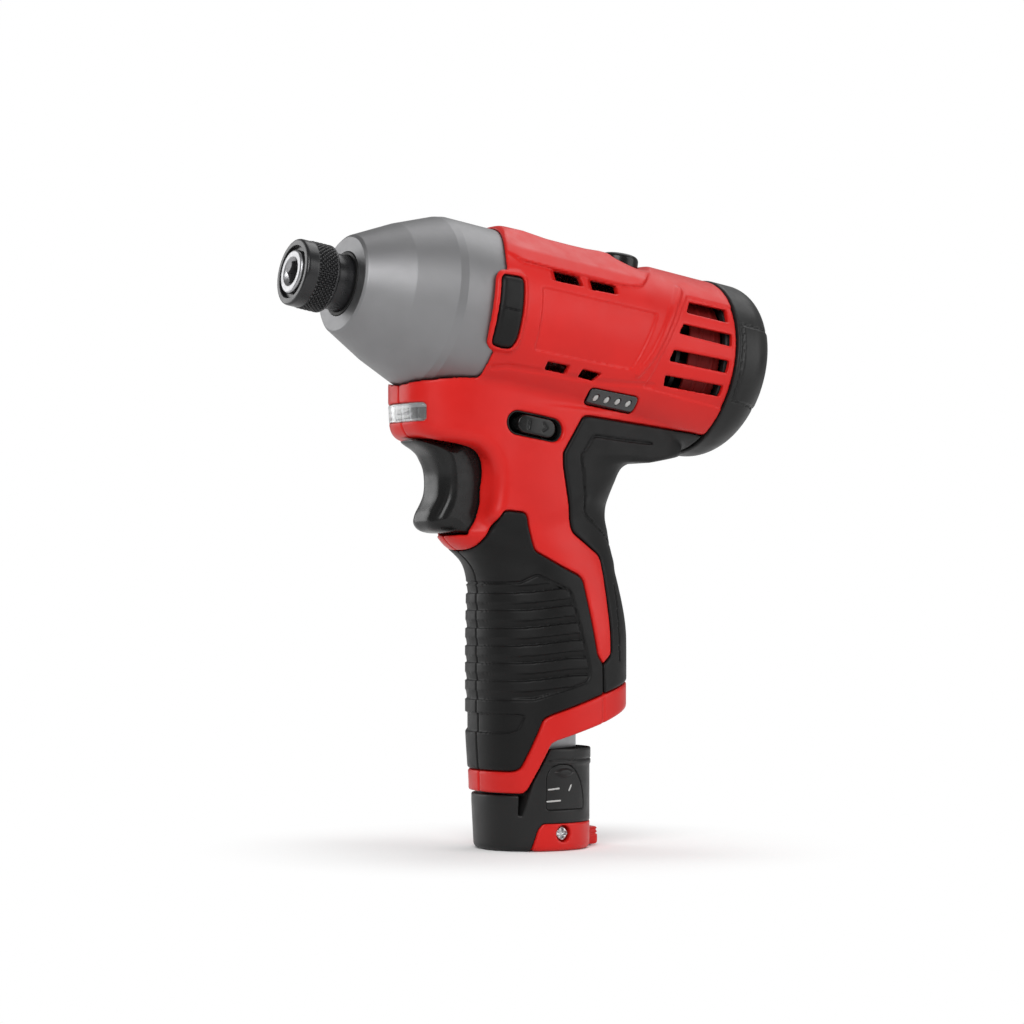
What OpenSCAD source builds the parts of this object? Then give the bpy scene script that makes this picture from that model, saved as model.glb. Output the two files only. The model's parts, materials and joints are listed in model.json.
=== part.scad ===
// Compact impact driver with a stick battery, standing on its battery foot.
// X points forward to the nose, Y to the left side, Z up; the origin is the middle of the flat base.
// Everything on the barrel is placed by s, the distance back from the nose tip along the barrel axis.

/* [Stance] */
// Height of the barrel axis over the middle of the base
axis_h = 155; // [150:0.5:160]
// Nose-up tilt of the barrel, in degrees
tilt = 9.35; // [8:0.05:11]
// Distance along the axis from the nose tip to the point over the middle of the base
nose_reach = 81.8; // [79:0.1:84]

/* [Collet] */
// Hex socket across flats
hex_af = 6.4; // [6:0.05:7]
// Depth of the hex socket
hex_depth = 20; // [15:0.5:24]
// Radius of the anvil shaft
anvil_r = 6.4; // [6:0.05:6.8]
// Outer radius of the collet sleeve
sleeve_r = 9.6; // [9.2:0.1:11]
// How far the anvil tip stands out of the sleeve
tip_proud = 0.5; // [0.2:0.1:1.5]
// Forward travel of the sleeve
sleeve_travel = 3; // [2:0.1:3.2]
// Wire radius of the sleeve spring
collet_wire_r = 0.4; // [0.3:0.05:0.5]
// Curls of the sleeve spring
collet_curls = 3; // [2:0.5:4]
// Radius of the two bit-holding balls
hold_ball_r = 1.6; // [1.4:0.05:1.8]

/* [Gear case] */
// Outer radius of the bush that carries the anvil
bush_r = 8.2; // [7.6:0.05:8.6]
// Length of the bush that shows ahead of the nose face
bush_neck = 5.3; // [4:0.1:7]
// Outer radius of the nose seal
seal_r = 9.5; // [9:0.1:11]
// Radius of the flat nose face
nose_r = 13.9; // [12.5:0.1:15]
// Thickness of the nose wall behind the face
nose_wall = 11.6; // [10:0.1:13]
// Length of the nose cone
cone_len = 25; // [23:0.5:27]
// Radius of the cylinder behind the cone
case_r = 25.9; // [25.4:0.1:26.3]
// Length of the case from the nose face to the housing edge
case_len = 41; // [39:0.5:43]
// Wall of the gear case
case_wall = 2.7; // [2:0.1:3]

/* [Impact mechanism] */
// Reach of the anvil's striking arms
arm_reach = 14.2; // [12:0.1:14.8]
// Width of a striking arm
arm_w = 7; // [5:0.1:8]
// Length of the arms along the axis
arm_len = 5; // [4:0.1:6]
// Radius of the hammer
hammer_r = 18.4; // [17:0.1:18.8]
// Length of the hammer body
hammer_len = 15.6; // [14:0.1:17]
// Backward travel of the hammer
hammer_travel = 6; // [4:0.1:7]
// Radius of the camshaft under the hammer
cam_r = 7.6; // [7:0.05:8]
// Radius of the cam balls
cam_ball_r = 2; // [1.5:0.05:2.2]
// Wire radius of the hammer spring
hammer_wire_r = 0.9; // [0.8:0.05:1]
// Curls of the hammer spring
hammer_curls = 3.5; // [3:0.5:4]

/* [Gears] */
// Gear module
gear_m = 0.8; // [0.76:0.01:0.82]
// Face width of the gears
gear_w = 6; // [5:0.1:7]
// Thickness of each carrier flange
flange_t = 2.4; // [2:0.1:3]
// Radius of a planet pin
pin_r = 2; // [1.6:0.05:2.4]

/* [Motor] */
// Outer radius of the motor can
can_r = 19.8; // [19:0.1:21]
// Wall of the motor can
can_wall = 1.3; // [1:0.1:1.8]
// Radius of the motor shaft
shaft_r = 2.5; // [2.2:0.05:2.8]
// Radius of the rotor core
core_r = 15.2; // [14:0.1:15.6]
// Length of the rotor core, as a share of the barrel
core_share = 0.249; // [0.21:0.003:0.27]
// Slots in the rotor core
core_slots = 10; // [8:1:12]
// Radius of the cooling fan
fan_r = 20; // [17:0.5:22]
// Blades on the cooling fan
fan_blades = 11; // [7:1:13]

/* [Housing] */
// Outer radius of the barrel
barrel_r = 26.9; // [26.6:0.1:28]
// Length of the barrel from its front edge to the rear cap
barrel_len = 80.3; // [78:0.1:84]
// Wall of the housing
wall = 2.3; // [2:0.1:2.5]
// Radius of the rear cap's rim
cap_r = 27.7; // [27.3:0.1:28.5]
// Length of the rear cap
cap_len = 16; // [14:0.5:22]
// Rounding of the rear cap's back edge
cap_round = 10; // [4:0.5:12]
// Height of the raised band on top of the barrel
plinth_h = 1; // [0.6:0.1:1.6]
// Front of the chin that holds the work light
chin_x = 45.6; // [43:0.1:48]
// Underside of the chin
chin_z = 121.5; // [120.6:0.1:122]
// Half width of the chin and the neck
neck_hw = 17.2; // [16:0.1:18]

/* [Handle] */
// Lower front edge of the handle
handle_z = 17.2; // [16:0.1:19]
// Front of the grip
grip_front_x = 19.3; // [18.8:0.1:21]
// Rear of the grip
grip_rear_x = -29; // [-32:0.1:-28]
// Half width of the grip
grip_hw = 20.8; // [20.4:0.1:23]
// Rear of the neck between grip and barrel
neck_rear_x = -22.7; // [-25:0.1:-21.5]
// Reach of the lip under the trigger past the grip's front
lip_reach = 10; // [7:0.1:12]
// Thickness of the soft grip
grip_t = 1.6; // [1:0.1:1.8]
// Pitch of the finger ribs
rib_pitch = 5.25; // [4.5:0.05:5.6]
// Depth of the grooves between the finger ribs
rib_depth = 0.8; // [0.4:0.1:0.9]

/* [Controls] */
// Width of the trigger
trigger_w = 16.8; // [14:0.1:17.6]
// Travel of the trigger
trigger_travel = 6; // [4:0.1:7]
// Length of the direction slider's pill
slider_len = 12; // [10:0.1:13]
// Height of the direction slider's pill
slider_h = 4.6; // [3.6:0.1:5.4]
// Side travel of the direction slider, each way
slider_travel = 2.5; // [1.5:0.1:3]
// Radius of the mode button on top
button_r = 6; // [5:0.1:6.6]
// Press of the mode button
button_travel = 1; // [0.6:0.1:1.4]

/* [Battery] */
// Radius of the battery column under the handle
column_r = 17; // [16.6:0.1:17.6]
// Height of the battery column
column_h = 29; // [27:0.1:30]
// Radius of a cell
cell_r = 6.7; // [6:0.05:6.9]
// Length of a cell
cell_len = 42; // [38:0.5:44]
// Wall of the steel stem
stem_wall = 0.8; // [0.5:0.05:1]
// Height of the stem over the battery column
stem_rise = 47; // [45:0.5:48]
// Height of the red base cover
base_h = 7.2; // [5:0.1:8]
// Press of the battery latches
latch_travel = 1.5; // [0.8:0.1:1.8]

/* [Clearances] */
// Radial gap of a running fit
run_gap = 0.05; // [0.02:0.01:0.1]
// Gap between parts that are fixed together
seat_gap = 0.03; // [0.01:0.01:0.1]
// Gap between parts that move past each other
move_gap = 0.4; // [0.3:0.05:0.5]

/* [Hidden] */
$fn = 48;
shell_fn = 48;
ring_n = 28;
big = 200;
eps = 0.01;

red = "firebrick";
black = "dimgray";
steel = "silver";

// Tip of the nose
tip = [nose_reach * cos(tilt), 0, axis_h + nose_reach * sin(tilt)];

// Collet: a snap ring on the anvil stops the sleeve, and the spring between ring and guide pushes it back
ring_w = 0.9;
guide_w = 2.2;
sleeve_lip = 1.1;
spring_play = 0.1;
sleeve_len = sleeve_lip + ring_w + 2 * collet_wire_r * (collet_curls + 1) + sleeve_travel
    + 2 * spring_play + guide_w;

// Stations along the barrel
s_sleeve = tip_proud;
s_sleeve_end = s_sleeve + sleeve_len;
s_bush = s_sleeve_end + move_gap;
s_nose = s_bush + bush_neck;
s_cavity = s_nose + nose_wall;
s_arm = s_cavity + move_gap;
s_hammer = s_arm + arm_len + move_gap;
s_hammer_end = s_hammer + hammer_len;
s_carrier = s_hammer_end + hammer_travel + move_gap;
s_planet = s_carrier + flange_t + move_gap;
s_carrier_rear = s_planet + gear_w + move_gap;
s_plate = s_carrier_rear + flange_t + move_gap;
plate_t = 6;
s_can = s_plate + plate_t;
bearing_w = 0.05 * barrel_len;
bearing_r = 6.5;
winding_w = 0.0423 * barrel_len;
core_len = core_share * barrel_len;
can_front = 1.5;
s_bearing_front = s_can + can_front;
s_core = s_bearing_front + bearing_w + winding_w + 2 * move_gap;
s_core_end = s_core + core_len;
s_commutator = s_core_end + winding_w + 2 * move_gap;
commutator_w = 0.0685 * barrel_len;
s_bell = s_commutator + move_gap;
s_bell_wall = s_commutator + commutator_w + 2 * move_gap;
bell_wall = bearing_w + 1;
s_fan = s_bell_wall + bell_wall + 4 * move_gap;
fan_plate = 1.4;
fan_w = 0.1055 * barrel_len;
s_shaft_end = s_fan + fan_w + 1;
s_front = s_nose + case_len;
s_shoulder = s_front - 0.6;
s_rear = s_front + barrel_len;
s_end = s_rear + cap_len;

// Radii that follow from the ones above
bore_r = barrel_r - wall;
spigot_r = bore_r - seat_gap;
cavity_r = spigot_r - case_wall;
cavity_front_r = nose_r + 1.9;
cone_mid = 0.4;
cone_bulge = 0.25;
cone_edge = 0.6;
edge_len = 2.4;
nose_chamfer = 0.8;
sun_teeth = 9;
planet_teeth = 18;
sun_r = gear_m * sun_teeth / 2;
planet_r = gear_m * planet_teeth / 2;
ring_teeth = sun_teeth + 2 * planet_teeth;
ring_r = gear_m * ring_teeth / 2;
carrier_r = sun_r + planet_r;
addendum = 0.8 * gear_m;
dedendum = 1.15 * gear_m;
flange_r = ring_r - addendum - move_gap;
pilot_r = 3.2;
pilot_len = 3.6;
hub_r = 7.5;
hub_bore = sun_r + addendum + move_gap;
commutator_r = 6.4;
inner_inset = wall + grip_t;

// Places a child at distance s along the barrel axis: its x is up from the axis, its z runs back
module on_axis(s = 0) {
    translate(tip) rotate([0, -(90 + tilt), 0]) translate([0, 0, s]) children();
}

// Ring of material about the barrel axis
module axis_tube(s0, s1, r_out, r_in) {
    on_axis(s0) difference() {
        cylinder(r = r_out, h = s1 - s0);
        translate([0, 0, -1]) cylinder(r = r_in, h = s1 - s0 + 2);
    }
}

// Part of a ring between two angles, measured from straight up towards the left side
module axis_arc(a0, a1, r0, r1, s0, s1) {
    on_axis(0) rotate([0, 0, a0]) rotate_extrude(angle = a1 - a0)
        translate([r0, s0]) square([r1 - r0, s1 - s0]);
}

// Radius of a faceted bore that clears a round piece of radius r
function clear_r(r) = r / cos(180 / shell_fn);

// Half space: side 1 is the left half, side -1 the right half
module half(side) {
    translate([-big, side > 0 ? 0 : -big, -big]) cube([2 * big, big, 3 * big]);
}

// Smooth step from 0 to 1
function ease(t) = (1 - cos(180 * min(1, max(0, t)))) / 2;
function mix(a, b, t) = a + (b - a) * t;
function signed_pow(v, p) = sign(v) * pow(abs(v), p);

// Point on a quadratic curve
function curve(p, q, r, n) = [for (i = [0 : n]) let (t = i / n)
    (1 - t) * (1 - t) * p + 2 * t * (1 - t) * q + t * t * r];

// Outline of a pill: two half circles joined by straight sides
function pill(l, w, n = 8) = concat(
    [for (i = [0 : n]) let (a = -90 + 180 * i / n) [(l - w) / 2 + w / 2 * cos(a), w / 2 * sin(a)]],
    [for (i = [0 : n]) let (a = 90 + 180 * i / n) [-(l - w) / 2 + w / 2 * cos(a), w / 2 * sin(a)]]);

// Squared oval between a front and a rear point
function oval(z, xf, xr, hw, power, inset) = [for (i = [0 : ring_n - 1]) let (
        t = 360 * i / ring_n,
        a = (xf - xr) / 2 - inset,
        b = hw - inset)
    [(xf + xr) / 2 + a * signed_pow(cos(t), 2 / power), b * signed_pow(sin(t), 2 / power), z]];

// Closed skin over a stack of rings of equal point counts
module skin(rings) {
    n = len(rings[0]);
    last = len(rings) - 1;
    points = [for (r = rings) each r];
    faces = concat(
        [[for (i = [0 : n - 1]) n - 1 - i]],
        [for (j = [0 : last - 1], i = [0 : n - 1]) let (k = (i + 1) % n)
            each [[j * n + i, j * n + k, (j + 1) * n + k], [j * n + i, (j + 1) * n + k, (j + 1) * n + i]]],
        [[for (i = [0 : n - 1]) last * n + i]]);
    polyhedron(points, [for (f = faces) [for (k = [len(f) - 1 : -1 : 0]) f[k]]]);
}

// Handle: the grip narrows to the neck, the lip swells forward under the trigger,
// and the rear sweeps back in a round fillet under the barrel
grip_top_z = 62;
neck_z = 100;
lip_root_z = 80;
lip_z = 92.4;
ledge_z = 93.2;
trigger_gap_x = 24.5;
tang_z = 104;
tang_r = 13;
tang_rear_x = -47;
handle_power = 2.3;
foot_taper = 20;
front_taper = 0.9;
side_taper = 0.7;
function taper(z) = 1 - ease((z - handle_z) / foot_taper);
function grip_front(z) = mix(grip_front_x, trigger_gap_x, ease((z - lip_root_z) / (neck_z - lip_root_z)))
    - front_taper * taper(z);
function grip_rear(z) = z > tang_z + tang_r - eps ? tang_rear_x
    : mix(grip_rear_x, neck_rear_x, ease((z - grip_top_z) / (neck_z - grip_top_z)))
        - (tang_r - sqrt(tang_r * tang_r - pow(max(0, z - tang_z), 2)));
function grip_half(z) = mix(grip_hw, neck_hw, ease((z - grip_top_z + 4) / (neck_z - grip_top_z + 4)))
    - side_taper * taper(z);
handle_stations = [0, 18, 32, 46, 58, 66, 73, 80, 86, 92, 97, 101, 105,
    109, 112, 114.5, 116.3, 117.1, 122, 130];

module handle_form(inset) {
    skin([for (z = handle_stations)
        oval(z, grip_front(z), grip_rear(z), grip_half(z), handle_power, inset)]);
}

// Lip: a narrower oval that swells forward and ends in a flat ledge under the trigger
lip_rear_x = -8;
lip_narrow = 0.84;
lip_steps = 6;
module lip_form(inset) {
    skin([for (i = [0 : lip_steps]) let (t = i / lip_steps, z = mix(lip_root_z - 1, lip_z, t))
        oval(z, mix(grip_front_x - 1, grip_front_x + lip_reach, t * t), lip_rear_x,
            lip_narrow * grip_half(z), handle_power, inset)]);
}

// Chin: a squared oval plate under the gear case, with a rounded lower edge
chin_rear_x = -25;
chin_top_z = 146;
chin_power = 3.2;
chin_edge = 2.2;
module chin_form(inset) {
    low = chin_z + inset;
    skin([
        oval(low, chin_x - chin_edge, chin_rear_x, neck_hw - chin_edge, chin_power, inset),
        oval(low + 0.3 * chin_edge, chin_x - 0.3 * chin_edge, chin_rear_x, neck_hw - 0.3 * chin_edge,
            chin_power, inset),
        oval(low + chin_edge, chin_x, chin_rear_x, neck_hw, chin_power, inset),
        oval(chin_top_z, chin_x, chin_rear_x, neck_hw, chin_power, inset)
    ]);
}

// Outside of the housing with its grips, drawn in by inset
module body_form(inset) {
    on_axis(s_front) cylinder(r = barrel_r - inset, h = barrel_len, $fn = shell_fn);
    handle_form(inset);
    lip_form(inset);
    chin_form(inset);
}

// Outside of the gear case ahead of the housing, grown by gap
module case_form(gap) {
    on_axis(0) rotate_extrude($fn = shell_fn) polygon([
        [0, s_nose - gap],
        [clear_r(nose_r - nose_chamfer + gap), s_nose - gap],
        [clear_r(nose_r + gap), s_nose + nose_chamfer],
        [clear_r(mix(nose_r, case_r, cone_mid) + cone_bulge + gap), s_nose + cone_mid * cone_len],
        [clear_r(case_r - cone_edge + gap), s_nose + cone_len],
        [clear_r(case_r + gap), s_nose + cone_len + edge_len],
        [clear_r(case_r + gap), s_shoulder],
        [clear_r(spigot_r - wall + gap), s_shoulder + case_r - spigot_r + wall],
        [0, s_shoulder + case_r - spigot_r + wall]
    ]);
}

// Grip outlines seen from the side, in x and z
split_low = [-13, 47.6];
split_tip = [-12.3, 55];
front_grip_outline = [[40, 24], [13.4, 24], [11.9, 27], [7.1, 39], [4.7, 40.6], [-7.7, 45.5], split_low,
    split_tip, [-10.9, 58], [-5.5, 80.6], [8.8, 88.7], [11.2, 99.2], [16.2, 99.5], [17.3, 93.3],
    [20, 89], [40, 88]];
palm_grip_outline = [split_low, [-27, 51.2], [-60, 54], [-60, 100], [-60, 122.6], [-46.9, 124.8],
    [-27.8, 126.8], [-6.4, 128.4], [-0.3, 116.4], [-1.8, 106], [-3.4, 94.5], [-13.5, 87],
    [-16.3, 57.8], split_tip];
collar_outline = [[40, handle_z], [12.9, handle_z], [10.4, 19.6], [4.1, 32.2], [2.5, 33.5], [-11.9, 38.8],
    [-22.3, 41.8], [-60, 50], [-60, -20], [40, -20]];

// Side outline carried through the whole width
module side_cut(outline) {
    translate([0, big / 2, 0]) rotate([90, 0, 0]) linear_extrude(big) polygon(outline);
}

// Space of a grip: the outer layer of the housing inside the outline
module grip_zone(outline) {
    difference() {
        side_cut(outline);
        body_form(grip_t);
        side_cut(collar_outline);
        on_axis(s_rear - eps) cylinder(r = big / 2, h = big);
    }
}

// Vents: four long slots near the fan and four short ones over the motor
slot_w = 3.4;
vent_w = 3;
slot_pitch = 16.7;
first_slot = 61.5;
long_slots = [for (i = [0 : 3])
    [first_slot + slot_pitch * i, s_rear - 18.1 - 1.9 * i, s_rear - 2.3 - 0.6 * i]];
vent_rows = [60.5, 120];
vent_starts = [16.5, 28.7];
vent_len = 8.6;

module slot(side, angle, s0, s1, w) {
    on_axis(0) rotate([0, 0, side * angle]) hull() for (s = [s0 + w / 2, s1 - w / 2])
        translate([bore_r - 4, 0, s]) rotate([0, 90, 0]) cylinder(r = w / 2, h = 12, $fn = 16);
}

module vents(side) {
    for (v = long_slots) slot(side, v[0], v[1], v[2], slot_w);
    for (a = vent_rows, s = vent_starts) slot(side, a, s_front + s, s_front + s + vent_len, vent_w);
}

// Screw places, in x and z
screw_r = 1.6;
screw_head_r = 2.8;
screw_head_h = 2;
boss_r = 3.4;
screw_in = 10;
head_y = 9;
screw_places = [[30, 128.6], [-16, 122.6], [-18.6, 88.5], [14.5, 86.5], [-22, 56]];

module screw_bosses() {
    for (p = screw_places) translate([p[0], 0, p[1]]) rotate([90, 0, 0])
        cylinder(r = boss_r, h = 2 * barrel_r, center = true, $fn = 16);
}

module screw_holes() {
    for (p = screw_places) translate([p[0], 0, p[1]]) rotate([90, 0, 0]) {
        translate([0, 0, -screw_in - 1]) cylinder(r = screw_r + move_gap / 2, h = big, $fn = 12);
        translate([0, 0, head_y]) cylinder(r = screw_head_r + move_gap, h = big, $fn = 16);
    }
}

// Rear cap screws sit either side of the axis
cap_screw_y = 15.5;
cap_boss_len = 6;
cap_boss_r = 3.4;
cap_lip = 2.8;
cap_fit = 0.2;
cap_lip_r = bore_r + cap_fit;
cap_in_r = cap_r - 2.2 * wall;
cap_rim = 3;
cap_step = 0.5;
cap_arc = 6;

// Rings inside the barrel that carry the motor can
rib_w = 2;
motor_ribs = [s_can + 6, s_core_end - 6];

// Raised band on top
plinth_angle = 19;
plinth_s0 = 5;
plinth_s1 = 60;

// Side bumpers
bumper_s0 = s_front - 2.6;
bumper_s1 = s_front + 4.9;
bumper_a0 = 70;
bumper_a1 = 112;
bumper_in = case_r + 2 * seat_gap;
bumper_out = barrel_r + 1.2;
cheek = 1.3;

module bumper_form(side, gap) {
    mirror([0, side > 0 ? 0 : 1, 0])
        axis_arc(bumper_a0 - gap * 2, bumper_a1 + gap * 2, bumper_in - gap / 2, bumper_out,
            bumper_s0 - gap, bumper_s1 + gap);
}

// Gauge window on the left flank
gauge_s0 = s_front + 33.5;
gauge_s1 = s_front + 52;
gauge_a0 = 128;
gauge_a1 = 140;

module gauge_form(gap) {
    axis_arc(gauge_a0 - gap * 2, gauge_a1 + gap * 2, barrel_r - wall + 0.6 - gap, barrel_r + 0.4,
        gauge_s0 - gap, gauge_s1 + gap);
}

// Work light window across the front of the chin
lens_z0 = chin_z + 4.6;
lens_z1 = chin_z + 10.4;
lens_hw = 11.5;
module lens_box(gap) {
    translate([chin_x - 9 - gap, -lens_hw - gap, lens_z0 - gap])
        cube([12, 2 * (lens_hw + gap), lens_z1 - lens_z0 + 2 * gap]);
}

// Trigger and slider places
trigger_z0 = ledge_z + move_gap;
trigger_z1 = chin_z - move_gap;
trigger_rear_x = 9;
switch_front_x = trigger_rear_x - trigger_travel - move_gap;
slider_x = 9.6;
slider_z = 125.2;
slider_hw = neck_hw + slider_travel - 0.9;

module trigger_opening() {
    translate([switch_front_x - 1.6, -trigger_w / 2 - move_gap, ledge_z])
        cube([big, trigger_w + 2 * move_gap, chin_z - ledge_z]);
}

module slider_form(gap, hw) {
    translate([slider_x, 0, slider_z]) rotate([0, -tilt, 0]) translate([0, hw, 0]) rotate([90, 0, 0])
        linear_extrude(2 * hw) polygon(pill(slider_len + 2 * gap, slider_h + 2 * gap));
}

// Mode button place
button_s = s_front + 50.8;
button_top = barrel_r + plinth_h + button_travel + 0.3;
button_flange_h = 0.9;
button_dome = 1.2;
button_flange_r = button_r + 1.2;
button_flange_top = sqrt(pow(bore_r, 2) - pow(button_flange_r, 2)) - move_gap / 2;

module on_top(s, h) {
    on_axis(s) rotate([0, 90, 0]) translate([0, 0, h]) children();
}

// Battery stem: three cells in a triangle with its single corner to the rear
cell_gap = 0.15;
cell_pitch = 2 * (cell_r + cell_gap);
stem_top = column_h + stem_rise;
stem_rear_x = -6.4;
cells = [[stem_rear_x, 0],
    [stem_rear_x + cell_pitch * sqrt(3) / 2, -cell_pitch / 2],
    [stem_rear_x + cell_pitch * sqrt(3) / 2, cell_pitch / 2]];
stem_r = cell_r + cell_gap + stem_wall;

// Rounded triangle round the three cells
function stem_outline(r, n = 6) = concat(
    [for (i = [0 : n]) let (a = 120 + 120 * i / n) cells[0] + r * [cos(a), sin(a)]],
    [for (i = [0 : n]) let (a = 240 + 120 * i / n) cells[1] + r * [cos(a), sin(a)]],
    [for (i = [0 : n]) let (a = 120 * i / n) cells[2] + r * [cos(a), sin(a)]]);

cap_top = stem_top + 3;
well_top = cap_top + 2;
terminal_z = well_top + 0.5;
terminal_h = 6;

module well() {
    translate([0, 0, -1]) linear_extrude(well_top + 1) polygon(stem_outline(stem_r + move_gap));
}

// One half of the housing
module housing(side) {
    difference() {
        intersection() {
            union() {
                difference() {
                    union() {
                        body_form(0);
                        axis_arc(-plinth_angle, plinth_angle, barrel_r - wall / 2, barrel_r + plinth_h,
                            s_front + plinth_s0, s_front + plinth_s1);
                        for (m = [0, 1]) mirror([0, m, 0])
                            axis_arc(bumper_a0 - 4, bumper_a1 + 4, case_r - 1, barrel_r + 0.3,
                                bumper_s0 - cheek, s_front + 6);
                    }
                    on_axis(s_front - 1) cylinder(r = clear_r(bore_r), h = barrel_len + 2, $fn = shell_fn);
                    intersection() {
                        handle_form(inner_inset);
                        translate([-big / 2, -big / 2, well_top - 2]) cube(big);
                    }
                    chin_form(wall);
                }
                intersection() {
                    union() {
                        screw_bosses();
                        for (y = [switch_hw + seat_gap, -switch_hw - seat_gap - barrel_r])
                            translate([switch_front_x - switch_len / 2, y, switch_z0 + 2])
                                cube([2, barrel_r, switch_z1 - switch_z0 - 4]);
                        for (s = motor_ribs) axis_tube(s, s + rib_w, bore_r + 1, can_r + seat_gap);
                        for (y = [-1, 1]) on_axis(s_rear - cap_boss_len) {
                            translate([0, y * cap_screw_y, 0])
                                cylinder(r = cap_boss_r, h = cap_boss_len, $fn = 16);
                            translate([-1.5, y > 0 ? cap_screw_y : -barrel_r, 0])
                                cube([3, barrel_r - cap_screw_y, cap_boss_len]);
                        }
                    }
                    body_form(grip_t + 0.4);
                }
            }
            half(side);
        }
        case_form(seat_gap);
        on_axis(s_nose - 2) cylinder(r = nose_r, h = 2.5);
        well();
        side_cut(collar_outline);
        grip_zone(front_grip_outline);
        grip_zone(palm_grip_outline);
        trigger_opening();
        slider_form(move_gap, big / 4);
        on_top(button_s, bore_r - 3) cylinder(r = button_r + move_gap, h = 12, $fn = 32);
        lens_box(seat_gap);
        if (side > 0) gauge_form(seat_gap);
        bumper_form(side, seat_gap);
        vents(side);
        screw_holes();
        for (y = [-1, 1]) on_axis(s_rear - cap_boss_len - 1) translate([0, y * cap_screw_y, 0])
            cylinder(r = screw_r + 0.2, h = cap_boss_len + 2, $fn = 16);
        on_axis(s_rear - cap_lip - seat_gap) difference() {
            cylinder(r = clear_r(cap_lip_r), h = cap_lip + 1, $fn = shell_fn);
            translate([0, 0, -1]) cylinder(r = cap_lip_r - wall - move_gap, h = cap_lip + 3, $fn = shell_fn);
        }
        on_axis(s_can)
            cylinder(r = clear_r(can_r + seat_gap), h = s_bell_wall + bell_wall - s_can, $fn = shell_fn);
        on_axis(s_fan - 1) cylinder(r = fan_r + 1, h = fan_w + 3, $fn = shell_fn);
    }
}

module left_housing() {
    color(red) housing(1);
}

module right_housing() {
    color(red) housing(-1);
}

module rear_cap() {
    color(black) difference() {
        on_axis(0) rotate_extrude() polygon(concat(
            [[cap_lip_r - wall, s_rear - cap_lip], [cap_lip_r - cap_fit, s_rear - cap_lip],
                [cap_lip_r - cap_fit, s_rear], [cap_r, s_rear], [cap_r, s_rear + cap_rim],
                [cap_r - cap_step, s_rear + cap_rim + cap_step]],
            [for (i = [0 : cap_arc]) let (a = 90 * i / cap_arc, r = cap_r - cap_step - cap_round)
                [r + cap_round * cos(a), s_end - cap_round + cap_round * sin(a)]],
            [[0, s_end], [0, s_end - wall], [cap_in_r - cap_round + wall, s_end - wall],
                [cap_in_r, s_end - cap_round], [cap_in_r, s_rear + cap_rim],
                [cap_lip_r - wall, s_rear + cap_rim]]));
        for (y = [-1, 1]) on_axis(0) translate([0, y * cap_screw_y, 0]) {
            translate([0, 0, s_rear - cap_boss_len])
                cylinder(r = screw_r + 0.2, h = s_end - s_rear + cap_boss_len);
            translate([0, 0, s_end - wall - 1]) cylinder(r = screw_head_r + move_gap, h = wall + 2);
        }
    }
}

module rear_cap_screws() {
    color(steel) for (y = [-1, 1]) on_axis(0) translate([0, y * cap_screw_y, 0]) {
        translate([0, 0, s_rear - 4]) cylinder(r = screw_r, h = s_end - wall - s_rear + 4);
        translate([0, 0, s_end - wall - 1]) cylinder(r = screw_head_r, h = screw_head_h);
    }
}

module gear_case() {
    color("gray") on_axis(0) rotate_extrude() polygon([
        [bush_r + seat_gap, s_nose + 1.5],
        [seal_r + seat_gap, s_nose + 1.5],
        [seal_r + seat_gap, s_nose],
        [nose_r - nose_chamfer, s_nose],
        [nose_r, s_nose + nose_chamfer],
        [mix(nose_r, case_r, cone_mid) + cone_bulge, s_nose + cone_mid * cone_len],
        [case_r - cone_edge, s_nose + cone_len],
        [case_r, s_nose + cone_len + edge_len],
        [case_r, s_shoulder],
        [spigot_r, s_shoulder + case_r - spigot_r],
        [spigot_r, s_plate],
        [cavity_r, s_plate],
        [cavity_r, s_nose + cone_len],
        [cavity_front_r, s_cavity],
        [bush_r + seat_gap, s_cavity]
    ]);
}

// Grooves between the finger ribs, rising a little towards the rear
rib_count = 7;
rib_low_z = 45.2;
rib_rise = 2;
groove_w = 1.3;
function rib_end_x(z) = mix(1, -6, ease((z - 45) / 6)) + 7 * ease((z - 66) / 14);
module rib_grooves() {
    difference() {
        for (i = [0 : rib_count - 1]) let (z = rib_low_z + i * rib_pitch, x = rib_end_x(z))
            side_cut([[x, z + rib_rise], [big / 2, z], [big / 2, z + groove_w],
                [x, z + rib_rise + groove_w]]);
        body_form(rib_depth);
    }
}

// A front grip, one on each half
module front_grip(side) {
    color(black) difference() {
        intersection() {
            body_form(seat_gap);
            grip_zone(front_grip_outline);
            half(side);
        }
        well();
        trigger_opening();
        screw_holes();
        rib_grooves();
    }
}

module left_grip() {
    front_grip(1);
}

module right_grip() {
    front_grip(-1);
}

// Groove that frames the pad of a palm grip, seen from the side
palm_groove = [[-24, 120.5], [-9.5, 121.8], [-6, 114.8], [-8.6, 98.5], [-13, 92.5]];
palm_dashes = [58, 63, 68, 73, 78];

module palm_grip(side) {
    color(black) difference() {
        intersection() {
            body_form(seat_gap);
            grip_zone(palm_grip_outline);
            half(side);
        }
        screw_holes();
        for (i = [0 : len(palm_groove) - 2]) hull() for (p = [palm_groove[i], palm_groove[i + 1]])
            translate([p[0], side * (neck_hw - 0.9), p[1]]) rotate([-90 * side, 0, 0])
                cylinder(r = 0.6, h = 9, $fn = 8);
        for (z = palm_dashes) hull() for (dz = [0, 3])
            translate([grip_rear(z) - 0.6, side * 8, z + dz]) sphere(r = 1, $fn = 8);
    }
}

module left_palm_grip() {
    palm_grip(1);
}

module right_palm_grip() {
    palm_grip(-1);
}

module left_bumper() {
    color(black) bumper_form(1, 0);
}

module right_bumper() {
    color(black) bumper_form(-1, 0);
}

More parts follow.
